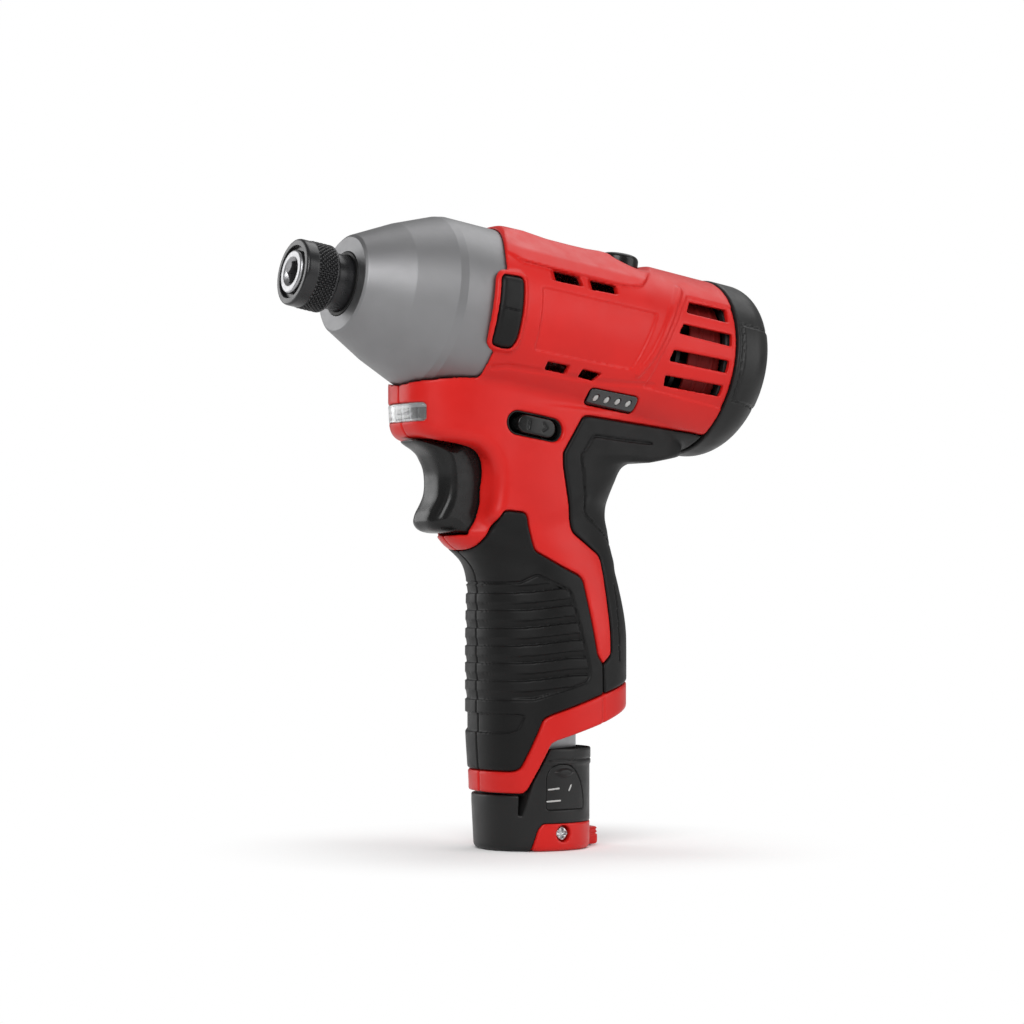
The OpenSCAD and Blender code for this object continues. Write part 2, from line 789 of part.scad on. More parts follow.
module gauge_panel() {
    color(black) difference() {
        gauge_form(0);
        for (i = [0 : 3]) on_axis(gauge_s0 + 3.4 + 3.9 * i) rotate([0, 0, (gauge_a0 + gauge_a1) / 2])
            translate([barrel_r - 0.2, 0, 0]) rotate([0, 90, 0]) cylinder(r = 1, h = 2);
    }
}

module work_light_lens() {
    color("white") difference() {
        intersection() {
            chin_form(seat_gap);
            lens_box(0);
        }
        chin_form(wall);
        case_form(seat_gap);
    }
}

board_x = chin_x - wall - 4.2;
module work_light_board() {
    color("green") union() {
        translate([board_x - 1.2, -8, lens_z0 - 1.6]) cube([1.2, 16, lens_z1 - lens_z0 + 1.6]);
        translate([board_x - eps, 0, (lens_z0 + lens_z1) / 2]) rotate([0, 90, 0]) cylinder(r = 2, h = 3);
    }
}

module housing_screws() {
    color(steel) for (p = screw_places) translate([p[0], 0, p[1]]) rotate([90, 0, 0]) union() {
        translate([0, 0, -screw_in]) cylinder(r = screw_r, h = screw_in + head_y + 0.1);
        translate([0, 0, head_y + 0.05]) cylinder(r = screw_head_r, h = screw_head_h);
    }
}

module nose_bush() {
    color(black) axis_tube(s_bush, s_cavity - 0.2, bush_r, anvil_r + run_gap);
}

module nose_seal() {
    color(black) axis_tube(s_nose - 0.6, s_nose + 1.45, seal_r, bush_r + seat_gap);
}

// Outline of a gear: positive reach for outside teeth, negative for teeth that point in
function gear_outline(n, r, reach, root) = [for (i = [0 : n - 1], k = [0 : 3]) let (
        p = 360 / n,
        a = p * i + p * [-0.26, -0.1, 0.1, 0.26][k],
        rad = (k == 0 || k == 3) ? r - root : r + reach)
    rad * [cos(a), sin(a)]];

module ring_gear() {
    color(steel) on_axis(s_planet - 0.2) difference() {
        cylinder(r = cavity_r - seat_gap, h = gear_w + 0.4 + flange_t);
        translate([0, 0, -1]) rotate(180 / ring_teeth) linear_extrude(gear_w + flange_t + 3)
            polygon(gear_outline(ring_teeth, ring_r, -addendum, -dedendum));
    }
}

module gearbox_plate() {
    color("gray") on_axis(s_plate) difference() {
        cylinder(r = spigot_r, h = plate_t);
        translate([0, 0, -1]) cylinder(r = bearing_out, h = plate_t);
        translate([0, 0, -1]) cylinder(r = hub_bore, h = plate_t + 2);
    }
}

bearing_out = 13;
bearing_sunk = 0.2;
race_in = 9.2;
race_out = 11.4;
race_groove = 0.5;
module camshaft_bearing() {
    color(steel) on_axis(0) rotate_extrude() polygon([
        [hub_r + run_gap, s_plate + bearing_sunk],
        [race_in, s_plate + bearing_sunk],
        [race_in, s_plate + bearing_sunk + race_groove],
        [race_out, s_plate + bearing_sunk + race_groove],
        [race_out, s_plate + bearing_sunk],
        [bearing_out - seat_gap, s_plate + bearing_sunk],
        [bearing_out - seat_gap, s_plate + plate_t - 1],
        [hub_r + run_gap, s_plate + plate_t - 1]
    ]);
}

module motor_can() {
    color("gray") union() {
        on_axis(s_can) difference() {
            cylinder(r = can_r, h = s_bell - s_can);
            translate([0, 0, can_front]) cylinder(r = can_r - can_wall, h = s_bell - s_can);
            translate([0, 0, -1]) cylinder(r = hub_bore, h = can_front + 2);
        }
        on_axis(s_can + can_front - eps) difference() {
            cylinder(r = bearing_r + 1.4, h = bearing_w);
            translate([0, 0, -1]) cylinder(r = bearing_r + seat_gap, h = bearing_w + 2);
        }
    }
}

magnet_gap = 10;
module motor_magnets() {
    color(black) for (i = [0 : 3])
        axis_arc(90 * i + magnet_gap, 90 * (i + 1) - magnet_gap, core_r + 0.5, can_r - can_wall - seat_gap,
            s_core - 1, s_core_end + 1);
}

brush_w = 5;
brush_t = 4.4;
module brush_space(gap) {
    for (a = [0, 180]) on_axis(s_commutator + commutator_w / 2) rotate([0, 0, 90 + a])
        translate([commutator_r + 0.15, -brush_w / 2 - gap, -brush_t / 2 - gap])
            cube([7.5 + gap, brush_w + 2 * gap, brush_t + 2 * gap]);
}

module motor_end_bell() {
    color(black) difference() {
        union() {
            axis_tube(s_bell, s_bell_wall + bell_wall, can_r, can_r - 2);
            axis_tube(s_bell_wall, s_bell_wall + bell_wall, can_r - 1, bearing_r + seat_gap);
            for (a = [0, 180]) on_axis(s_bell) rotate([0, 0, 90 + a])
                translate([commutator_r + 1.2, -brush_w / 2 - 1.6, 0])
                    cube([can_r - commutator_r - 2, brush_w + 3.2, s_bell_wall - s_bell + 1]);
        }
        brush_space(seat_gap);
        for (a = [0, 180]) on_axis(s_bell_wall - 1) rotate([0, 0, a])
            translate([bearing_r + 3.5, -6, 0]) cube([5, 12, bell_wall + 2]);
    }
}

module brushes() {
    color("black") brush_space(0);
}

module motor_bearings() {
    color(steel) {
        axis_tube(s_bearing_front + 0.1, s_bearing_front + bearing_w, bearing_r, shaft_r + run_gap);
        axis_tube(s_bell_wall + 0.5, s_bell_wall + 0.5 + bearing_w, bearing_r, shaft_r + run_gap);
    }
}

switch_len = 18;
switch_z0 = 94;
switch_z1 = 118;
switch_hw = 8.4;
plunger_in = 2;
plunger_bore = plunger_in + trigger_travel + 1;
module switch_body() {
    color(black) difference() {
        translate([switch_front_x - switch_len, -switch_hw, switch_z0])
            cube([switch_len, 2 * switch_hw, switch_z1 - switch_z0]);
        translate([switch_front_x - plunger_bore, 0, plunger_z]) rotate([0, 90, 0])
            cylinder(r = plunger_r + move_gap, h = big);
    }
}

terminal_hw = neck_hw - inner_inset - 1.3;
blade_y = 5;
blade_t = 0.9;
blade_w = 6;
blade_in = 3;
terminal_len = 14;
module tool_terminals() {
    color("goldenrod") union() {
        translate([stem_rear_x, -terminal_hw, terminal_z]) cube([terminal_len, 2 * terminal_hw, terminal_h]);
        for (y = [-1, 0, 1])
            translate([stem_rear_x + blade_in, y * blade_y - blade_t / 2, stem_top + 2 * move_gap])
                cube([blade_w, blade_t, terminal_z - stem_top]);
    }
}

ring_s = s_sleeve + sleeve_lip;
ring_in = 0.5;
ball_angles = [90, 270];
anvil_hub_r = 8.4;
chamber_r = sleeve_r - 1.4;
module hex_prism(af, h) {
    rotate(30) cylinder(r = af / 2 / cos(30), h = h, $fn = 6);
}

module anvil() {
    color(steel) on_axis(0) difference() {
        union() {
            cylinder(r = anvil_r, h = s_arm + 1);
            translate([0, 0, s_arm]) cylinder(r = anvil_hub_r, h = arm_len);
            for (a = [0, 180]) rotate([0, 0, a]) translate([0, -arm_w / 2, s_arm])
                cube([arm_reach, arm_w, arm_len]);
        }
        translate([0, 0, -1]) hex_prism(hex_af, hex_depth + 1);
        translate([0, 0, s_hammer - move_gap - pilot_len - move_gap])
            cylinder(r = pilot_r + run_gap, h = pilot_len + 2);
        for (a = ball_angles) rotate([0, 0, a]) translate([0, 0, s_sleeve_end - guide_w / 2])
            rotate([0, 90, 0]) cylinder(r = hold_ball_r + run_gap, h = anvil_r + 1);
        translate([0, 0, ring_s - seat_gap]) difference() {
            cylinder(r = anvil_r + 1, h = ring_w + 2 * seat_gap);
            translate([0, 0, -1]) cylinder(r = anvil_r - ring_in, h = ring_w + 3);
        }
    }
}

module retaining_balls() {
    color(steel) for (a = ball_angles) on_axis(s_sleeve_end - guide_w / 2) rotate([0, 0, a])
        translate([anvil_r - hold_ball_r - run_gap, 0, 0]) sphere(r = hold_ball_r);
}

module retaining_ring() {
    color(steel) axis_tube(ring_s, ring_s + ring_w, chamber_r - 0.3, anvil_r - ring_in + seat_gap);
}

module collet_sleeve() {
    color(black) on_axis(0) rotate_extrude() polygon([
        [anvil_r + run_gap, s_sleeve],
        [sleeve_r - 2.2, s_sleeve],
        [sleeve_r - 0.4, s_sleeve + 1.6],
        [sleeve_r - 0.4, s_sleeve + 3.4],
        [sleeve_r, s_sleeve + 3.8],
        [sleeve_r, s_sleeve_end - 0.8],
        [sleeve_r - 0.8, s_sleeve_end],
        [anvil_r + run_gap, s_sleeve_end],
        [anvil_r + run_gap, s_sleeve_end - guide_w],
        [chamber_r, s_sleeve_end - guide_w],
        [chamber_r, ring_s - 0.1],
        [anvil_r + run_gap, ring_s - 0.1]
    ]);
}

// Springs: one unbroken wire along a helix
curl_rings = 10;
wire_sides = 6;
function helix(r, length, curls) = [for (i = [0 : curl_rings * curls]) let (t = i / curl_rings)
    [r * cos(360 * t), r * sin(360 * t), length * t / curls]];
function coil_gap(r, wire_r, length, curls) = let (path = helix(r, length - 2 * wire_r, curls))
    min([for (i = [0 : len(path) - 1], j = [i + curl_rings / 2 : 1 : len(path) - 1])
        norm(path[i] - path[j])]) - 2 * wire_r;

module coil(r, wire_r, length, curls) {
    path = helix(r, length - 2 * wire_r, curls);
    skin([for (i = [0 : len(path) - 1]) let (a = 360 * i / curl_rings)
        [for (k = [0 : wire_sides - 1]) let (b = -360 * k / wire_sides)
            path[i] + [0, 0, wire_r] + wire_r * [cos(a) * cos(b), sin(a) * cos(b), sin(b)]]]);
}

collet_coil_r = (anvil_r + chamber_r) / 2;
collet_coil_s = ring_s + ring_w + spring_play;
collet_coil_len = s_sleeve_end - guide_w - spring_play - collet_coil_s;
module collet_spring() {
    color(steel) on_axis(collet_coil_s) coil(collet_coil_r, collet_wire_r, collet_coil_len, collet_curls);
}
echo(collet_spring_gap = coil_gap(collet_coil_r, collet_wire_r, collet_coil_len, collet_curls));

bridge_t = 2.6;
bridge_w = 4.8;
module camshaft() {
    color(steel) on_axis(0) difference() {
        union() {
            translate([0, 0, s_hammer - move_gap - pilot_len]) cylinder(r = pilot_r, h = pilot_len + 2);
            translate([0, 0, s_hammer]) cylinder(r = cam_r, h = s_carrier - s_hammer + 1);
            translate([0, 0, s_carrier]) cylinder(r = flange_r, h = flange_t);
            translate([0, 0, s_carrier_rear]) cylinder(r = flange_r, h = flange_t);
            translate([0, 0, s_carrier_rear]) cylinder(r = hub_r, h = flange_t + move_gap + plate_t - 1.4);
            for (i = [0 : 2]) rotate([0, 0, 60 + 120 * i])
                translate([flange_r - bridge_t - 1, -bridge_w / 2, s_carrier + 1])
                    cube([bridge_t, bridge_w, s_carrier_rear - s_carrier]);
        }
        for (i = [0 : 2]) rotate([0, 0, 120 * i]) translate([carrier_r, 0, s_carrier - 1])
            cylinder(r = pin_r + seat_gap, h = big / 4);
        translate([0, 0, s_planet - 1]) cylinder(r = hub_bore, h = big / 4);
        for (a = [0, 180]) rotate([0, 0, a]) translate([cam_r, 0, s_ball]) sphere(r = cam_ball_r + run_gap);
    }
}

s_ball = s_hammer + 4;
module cam_balls() {
    color(steel) for (a = [0, 180]) on_axis(s_ball) rotate([0, 0, a])
        translate([cam_r, 0, 0]) sphere(r = cam_ball_r);
}

pin_sunk = 0.2;
module planet_pins() {
    color(steel) for (i = [0 : 2]) on_axis(s_carrier + pin_sunk) rotate([0, 0, 120 * i])
        translate([carrier_r, 0, 0])
            cylinder(r = pin_r, h = s_carrier_rear + flange_t - 2 * pin_sunk - s_carrier);
}

spring_in = 9.6;
spring_out = 14.8;
spring_deep = 2 * hammer_wire_r * (hammer_curls + 1) - move_gap + 3 * spring_play;
lug_angle = 54;
lug_t = 4.8;
hammer_bevel = 1.6;
bevel_len = 2;
module hammer() {
    color("gray") on_axis(0) difference() {
        union() {
            translate([0, 0, s_hammer]) cylinder(r1 = hammer_r - hammer_bevel, r2 = hammer_r, h = bevel_len);
            translate([0, 0, s_hammer + bevel_len - eps])
                cylinder(r = hammer_r, h = hammer_len - bevel_len + eps);
            for (a = [0, 180]) rotate([0, 0, lug_angle + a])
                translate([arm_reach - lug_t, -arm_w / 2, s_arm + 1]) cube([lug_t, arm_w, s_hammer - s_arm]);
        }
        translate([0, 0, s_arm]) cylinder(r = cam_r + run_gap, h = big / 4);
        for (a = [0, 180]) rotate([0, 0, a]) translate([cam_r, 0, s_hammer - 1])
            cylinder(r = cam_ball_r + 0.15, h = s_ball - s_hammer + 1 + cam_ball_r + 0.3);
        translate([0, 0, s_hammer_end - spring_deep]) difference() {
            cylinder(r = spring_out, h = spring_deep + 1);
            translate([0, 0, -1]) cylinder(r = spring_in, h = spring_deep + 3);
        }
    }
}

hammer_coil_r = (spring_in + spring_out) / 2;
hammer_coil_s = s_hammer_end - spring_deep + spring_play;
hammer_coil_len = s_carrier - spring_play - hammer_coil_s;
module hammer_spring() {
    color(steel) on_axis(hammer_coil_s) coil(hammer_coil_r, hammer_wire_r, hammer_coil_len, hammer_curls);
}
echo(hammer_spring_gap = coil_gap(hammer_coil_r, hammer_wire_r, hammer_coil_len, hammer_curls));

module planet_gear(i) {
    color(steel) on_axis(s_planet) rotate([0, 0, 120 * i]) translate([carrier_r, 0, 0]) difference() {
        linear_extrude(gear_w) polygon(gear_outline(planet_teeth, planet_r, addendum, dedendum));
        translate([0, 0, -1]) cylinder(r = pin_r + run_gap, h = gear_w + 2);
    }
}

module planet_gear_1() {
    planet_gear(0);
}

module planet_gear_2() {
    planet_gear(1);
}

module planet_gear_3() {
    planet_gear(2);
}

spindle_r = 1.4;
s_step = s_planet + gear_w + 2.4;
module pinion() {
    color(steel) on_axis(s_planet + 0.3) difference() {
        rotate(180 / sun_teeth) linear_extrude(gear_w + 2)
            polygon(gear_outline(sun_teeth, sun_r, addendum, dedendum));
        translate([0, 0, 1]) cylinder(r = spindle_r + seat_gap, h = gear_w + 2);
    }
}

module motor_shaft() {
    color(steel) on_axis(0) union() {
        translate([0, 0, s_planet + 1.5]) cylinder(r = spindle_r, h = s_step - s_planet - 1);
        translate([0, 0, s_step]) cylinder(r = shaft_r, h = s_shaft_end - s_step);
    }
}

module rotor_core() {
    color("gray") on_axis(s_core) difference() {
        cylinder(r = core_r, h = core_len);
        translate([0, 0, -1]) cylinder(r = shaft_r + seat_gap, h = core_len + 2);
        for (i = [0 : core_slots - 1]) rotate([0, 0, 360 / core_slots * (i + 0.5)])
            translate([core_r - 5.5, -0.9, -1]) cube([8, 1.8, core_len + 2]);
    }
}

module rotor_winding() {
    color("peru") for (s = [s_core - winding_w - seat_gap, s_core_end + seat_gap]) on_axis(s) rotate_extrude()
        polygon([[shaft_r + seat_gap, 0], [core_r - 4, 0], [core_r - 2.4, winding_w / 2],
            [core_r - 4, winding_w], [shaft_r + seat_gap, winding_w]]);
}

module commutator() {
    color("peru") on_axis(s_commutator) difference() {
        cylinder(r = commutator_r, h = commutator_w);
        translate([0, 0, -1]) cylinder(r = shaft_r + seat_gap, h = commutator_w + 2);
    }
}

blade_thick = 1.2;
module cooling_fan() {
    color(black) on_axis(s_fan) difference() {
        union() {
            cylinder(r = fan_r, h = fan_plate);
            cylinder(r = shaft_r + 3, h = fan_w);
            for (i = [0 : fan_blades - 1]) rotate([0, 0, 360 / fan_blades * i])
                translate([shaft_r + 1, -blade_thick / 2, fan_plate / 2])
                    cube([fan_r - shaft_r - 1 - move_gap, blade_thick, fan_w - fan_plate / 2]);
        }
        translate([0, 0, -1]) cylinder(r = shaft_r + seat_gap, h = fan_w + 2);
    }
}

// Trigger: its front is hollowed for the finger and its rear slides into the neck
trigger_top_x = 41;
trigger_hollow_x = 32.4;
trigger_toe_x = 37;
toe_h = 4;
spring_z = 112;
spring_pocket = 8;
plunger_z = 103;
plunger_r = 2;
plunger_seat = 4;
module trigger() {
    toe_z = trigger_z0 + toe_h;
    color(black) difference() {
        translate([0, trigger_w / 2, 0]) rotate([90, 0, 0]) linear_extrude(trigger_w) polygon(concat(
            curve([trigger_top_x, trigger_z1], [trigger_hollow_x, (trigger_z1 + toe_z) / 2],
                [trigger_toe_x, toe_z], 10),
            curve([trigger_toe_x, toe_z], [trigger_toe_x + 0.6, trigger_z0],
                [trigger_toe_x - toe_h, trigger_z0], 4),
            [[trigger_rear_x, trigger_z0], [trigger_rear_x, trigger_z1]]));
        translate([trigger_rear_x - 1, 0, spring_z]) rotate([0, 90, 0])
            cylinder(r = trigger_coil_r + trigger_wire_r + move_gap, h = spring_pocket + 1);
        translate([trigger_rear_x - 1, 0, plunger_z]) rotate([0, 90, 0])
            cylinder(r = plunger_r + seat_gap, h = plunger_seat + 1 + seat_gap);
    }
}

trigger_coil_r = 3;
trigger_wire_r = 0.45;
trigger_curls = 7;
trigger_coil_len = trigger_rear_x + spring_pocket - switch_front_x - 2 * spring_play;
module trigger_spring() {
    color(steel) translate([switch_front_x + spring_play, 0, spring_z]) rotate([0, 90, 0])
        coil(trigger_coil_r, trigger_wire_r, trigger_coil_len, trigger_curls);
}
echo(trigger_spring_gap = coil_gap(trigger_coil_r, trigger_wire_r, trigger_coil_len, trigger_curls));

module switch_plunger() {
    color(black) translate([switch_front_x - plunger_in, 0, plunger_z]) rotate([0, 90, 0])
        cylinder(r = plunger_r, h = trigger_rear_x + plunger_seat - switch_front_x + plunger_in);
}

module direction_slider() {
    color(black) slider_form(0, slider_hw);
}

module mode_button() {
    color("black") union() {
        on_top(button_s, button_flange_top - button_flange_h)
            cylinder(r = button_flange_r, h = button_flange_h);
        on_top(button_s, button_flange_top - eps)
            cylinder(r = button_r, h = button_top - button_dome - button_flange_top);
        on_top(button_s, button_top - button_dome - eps)
            cylinder(r1 = button_r, r2 = button_r - 2 * button_dome, h = button_dome);
    }
}

// Battery pack
foot_r = 20;
foot_x = grip_front_x - 1.1 - foot_r;
foot_top = handle_z - 0.7;
foot_split_x = 11.6;
base_split_x = 8.5;
latch_x0 = -7.5;
latch_x1 = 4.5;
latch_z0 = 12.4;
latch_z1 = column_h - 2.4;
latch_y = column_r - 3.3;
pack_gap = 0.5;
cell_z = latch_z1 + move_gap + 1.6;
stem_seat = column_h - latch_z1 - move_gap - 0.2;

module latch_form(side) {
    intersection() {
        mirror([0, side > 0 ? 0 : 1, 0])
            translate([latch_x0, latch_y, latch_z0])
                cube([latch_x1 - latch_x0, column_r, latch_z1 - latch_z0]);
        cylinder(r = column_r, h = column_h);
    }
}

module latch_pocket(side) {
    mirror([0, side > 0 ? 0 : 1, 0])
        translate([latch_x0 - move_gap, latch_y - latch_travel - move_gap, latch_z0 - move_gap])
            cube([latch_x1 - latch_x0 + 2 * move_gap, column_r, latch_z1 - latch_z0 + 2 * move_gap]);
}

module battery_shell() {
    color(black) difference() {
        union() {
            cylinder(r = column_r, h = column_h);
            intersection() {
                translate([foot_x, 0, 0]) cylinder(r = foot_r, h = foot_top);
                translate([foot_split_x, -big / 2, 0]) cube([big, big, big]);
            }
        }
        for (side = [-1, 1]) latch_pocket(side);
        for (p = cells) translate([p[0], p[1], cell_z - 0.2]) cylinder(r = cell_r + cell_gap - eps, h = big);
        translate([0, 0, column_h - stem_seat]) linear_extrude(big) polygon(stem_outline(stem_r + seat_gap));
        translate([-big + base_split_x, -big / 2, -1]) cube([big, big, base_h + 1 + seat_gap]);
        difference() {
            translate([-big / 2, -big / 2, handle_z - 2 * move_gap]) cube(big);
            translate([-pack_gap, 0, -pack_gap]) side_cut(collar_outline);
        }
    }
}

module battery_base() {
    color(red) difference() {
        union() {
            intersection() {
                cylinder(r = column_r, h = base_h);
                translate([-big + base_split_x - seat_gap, -big / 2, 0]) cube([big, big, base_h]);
            }
            translate([-column_r - 3.3, -5, 0.5]) cube([6, 10, 3.6]);
        }
        base_screw(screw_r + seat_gap, screw_head_r + 0.3, 20);
    }
}

base_screw_x = -0.8;
base_screw_z = 4;
module base_screw(r, head_r, head_h) {
    for (side = [-1, 1]) translate([base_screw_x, 0, base_screw_z]) rotate([-90 * side, 0, 0]) {
        translate([0, 0, column_r - 10]) cylinder(r = r, h = 8);
        translate([0, 0, column_r - 2.6]) cylinder(r = head_r, h = head_h);
    }
}

module battery_screws() {
    color(steel) base_screw(screw_r, screw_head_r - 0.4, 1.8);
}

module battery_stem() {
    stem_z = column_h - stem_seat + seat_gap;
    color(steel) translate([0, 0, stem_z]) linear_extrude(stem_top - stem_z) difference() {
        polygon(stem_outline(stem_r));
        polygon(stem_outline(stem_r - stem_wall));
    }
}

module battery_cells() {
    color("royalblue") for (p = cells) translate([p[0], p[1], cell_z]) cylinder(r = cell_r, h = cell_len);
}

module battery_cap() {
    color(black) difference() {
        union() {
            translate([0, 0, cell_z + cell_len + 0.2]) linear_extrude(stem_top - cell_z - cell_len - 0.2)
                polygon(stem_outline(stem_r - stem_wall - seat_gap));
            translate([0, 0, stem_top]) linear_extrude(cap_top - stem_top) polygon(stem_outline(stem_r));
        }
        for (y = [-1, 0, 1])
            translate([stem_rear_x + blade_in - move_gap, y * blade_y - blade_t / 2 - move_gap, stem_top])
                cube([blade_w + 2 * move_gap, blade_t + 2 * move_gap, big]);
    }
}

module left_latch() {
    color(black) latch_form(1);
}

module right_latch() {
    color(black) latch_form(-1);
}

left_housing();
right_housing();
rear_cap();
gear_case();
left_grip();
right_grip();
left_palm_grip();
right_palm_grip();
left_bumper();
right_bumper();
gauge_panel();
work_light_lens();
work_light_board();
housing_screws();
rear_cap_screws();
nose_bush();
nose_seal();
ring_gear();
gearbox_plate();
camshaft_bearing();
motor_can();
motor_magnets();
motor_end_bell();
brushes();
motor_bearings();
switch_body();
tool_terminals();
anvil();
retaining_balls();
retaining_ring();
collet_spring();
collet_sleeve();
camshaft();
planet_pins();
cam_balls();
hammer_spring();
hammer();
planet_gear_1();
planet_gear_2();
planet_gear_3();
motor_shaft();
pinion();
rotor_core();
rotor_winding();
commutator();
cooling_fan();
trigger();
trigger_spring();
switch_plunger();
direction_slider();
mode_button();
battery_shell();
battery_base();
battery_stem();
battery_cells();
battery_cap();
battery_screws();
left_latch();
right_latch();
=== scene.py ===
"""Impact driver with a stick battery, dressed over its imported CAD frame.

Shapes are distance fields in millimetres, in the part's own frame: x forward, y to the left, z up.
On the barrel, s is the distance back from the nose tip, h the height over the axis and r the radius.
"""
import json
import math
from functools import reduce

import bpy
import numpy as np
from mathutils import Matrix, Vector


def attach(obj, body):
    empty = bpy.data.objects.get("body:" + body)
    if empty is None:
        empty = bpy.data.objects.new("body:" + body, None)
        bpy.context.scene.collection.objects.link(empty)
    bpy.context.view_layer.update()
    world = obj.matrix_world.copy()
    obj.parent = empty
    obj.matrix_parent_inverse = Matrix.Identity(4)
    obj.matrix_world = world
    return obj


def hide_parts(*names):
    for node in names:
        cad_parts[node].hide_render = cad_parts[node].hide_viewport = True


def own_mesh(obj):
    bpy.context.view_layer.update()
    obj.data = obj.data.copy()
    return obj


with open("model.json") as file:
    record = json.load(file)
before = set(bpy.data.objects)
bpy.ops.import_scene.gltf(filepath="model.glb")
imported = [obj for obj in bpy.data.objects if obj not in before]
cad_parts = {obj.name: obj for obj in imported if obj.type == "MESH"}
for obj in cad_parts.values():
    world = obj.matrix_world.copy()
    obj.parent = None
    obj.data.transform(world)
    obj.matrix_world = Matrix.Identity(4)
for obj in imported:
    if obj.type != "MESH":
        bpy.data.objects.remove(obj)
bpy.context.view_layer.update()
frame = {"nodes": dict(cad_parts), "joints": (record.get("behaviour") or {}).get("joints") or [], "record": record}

MM = 0.001
JOINTS = {j["name"]: j for j in frame["joints"]}
TIP = [v / MM for v in JOINTS["anvil_spin"]["pos_m"]]
FORWARD = JOINTS["anvil_spin"]["axis"]
COS, SIN = FORWARD[0], FORWARD[2]

# Stations along the barrel
S_SLEEVE, S_SLEEVE_END = 0.5, 11.1
S_NOSE = 16.8
S_CASE_END = 62.6
S_REAR = 138.2
S_END = 154.1

# Radii about the barrel's axis
BARREL_R = 26.9
BORE_R = 24.6
CASE_R = 25.9
CAP_R = 27.7

# Thickness of the housing and the grips, and half the gap between left and right pieces
WALL = 2.3
GRIP_T = 1.6
SEAM = 0.06

SIDES = ((1, "left"), (-1, "right"))


# Distance field tools

def back(x, z):
    return (TIP[0] - x) * COS + (TIP[2] - z) * SIN


def rise(x, z):
    return (z - TIP[2]) * COS - (x - TIP[0]) * SIN


def on_axis(s, y, h):
    return (TIP[0] - s * COS - h * SIN, y, TIP[2] - s * SIN + h * COS)


def mix(a, b, t):
    return a + (b - a) * t


def ease(t):
    t = np.clip(t, 0.0, 1.0)
    return t * t * (3.0 - 2.0 * t)


def window(v, low, high, edge):
    """1 between low and high, with soft edges."""
    return ease((v - low) / edge + 0.5) * ease((high - v) / edge + 0.5)


def curve(v, points):
    """Value at v of a run of lines through points."""
    return np.interp(v, *zip(*points))


def join(a, b, k):
    """Smooth union."""
    h = np.maximum(k - np.abs(a - b), 0.0) / k
    return np.minimum(a, b) - h * h * k * 0.25


def meet(a, b, k):
    """Smooth intersection."""
    return -join(-a, -b, k)


def cut(a, b, k):
    """a without b, with a rounded edge."""
    return meet(a, -b, k)


def grooved(d, face, region, depth):
    """d with a region of its face sunk by a depth."""
    return np.maximum(d, -np.maximum(region, -(face + depth)))


def length(*v):
    return np.sqrt(sum(c * c for c in v))


def least(fields):
    return reduce(np.minimum, fields)


def most(fields):
    return reduce(np.maximum, fields)


def inside(u, v, points):
    """Signed distance to a closed outline, negative inside."""
    u, v = np.broadcast_arrays(u, v)
    best = np.full(u.shape, 1e9)
    sign = np.ones(u.shape)
    for i in range(len(points)):
        (ax, ay), (bx, by) = points[i], points[i - 1]
        ex, ey = bx - ax, by - ay
        wx, wy = u - ax, v - ay
        t = np.clip((wx * ex + wy * ey) / (ex * ex + ey * ey), 0.0, 1.0)
        best = np.minimum(best, (wx - ex * t) ** 2 + (wy - ey * t) ** 2)
        up, down, left = v >= ay, v < by, ex * wy > ey * wx
        sign = np.where((up & down & left) | ~(up | down | left), -sign, sign)
    return (sign * np.sqrt(best)).astype(np.float32)


def along(u, v, points):
    """Distance to an open run of lines."""
    best = None
    for (ax, ay), (bx, by) in zip(points[:-1], points[1:]):
        ex, ey = bx - ax, by - ay
        wx, wy = u - ax, v - ay
        t = np.clip((wx * ex + wy * ey) / (ex * ex + ey * ey), 0.0, 1.0)
        d = (wx - ex * t) ** 2 + (wy - ey * t) ** 2
        best = d if best is None else np.minimum(best, d)
    return np.sqrt(best)


def pill(u, v, long, wide):
    return length(np.maximum(np.abs(u) - (long - wide) / 2, 0.0), v) - wide / 2


def oval(x, y, front, rear, half, power):
    """Squared oval in plan."""
    a = (front - rear) / 2
    u = np.maximum(np.abs(x - (front + rear) / 2) / a, 1e-4)
    v = np.maximum(np.abs(y) / half, 1e-4)
    up, vp = u ** power, v ** power
    q = up + vp
    rho = q ** (1.0 / power)
    slope = rho / q * np.sqrt((up / u / a) ** 2 + (vp / v / half) ** 2)
    return (rho - 1.0) / np.maximum(slope, 1e-3)


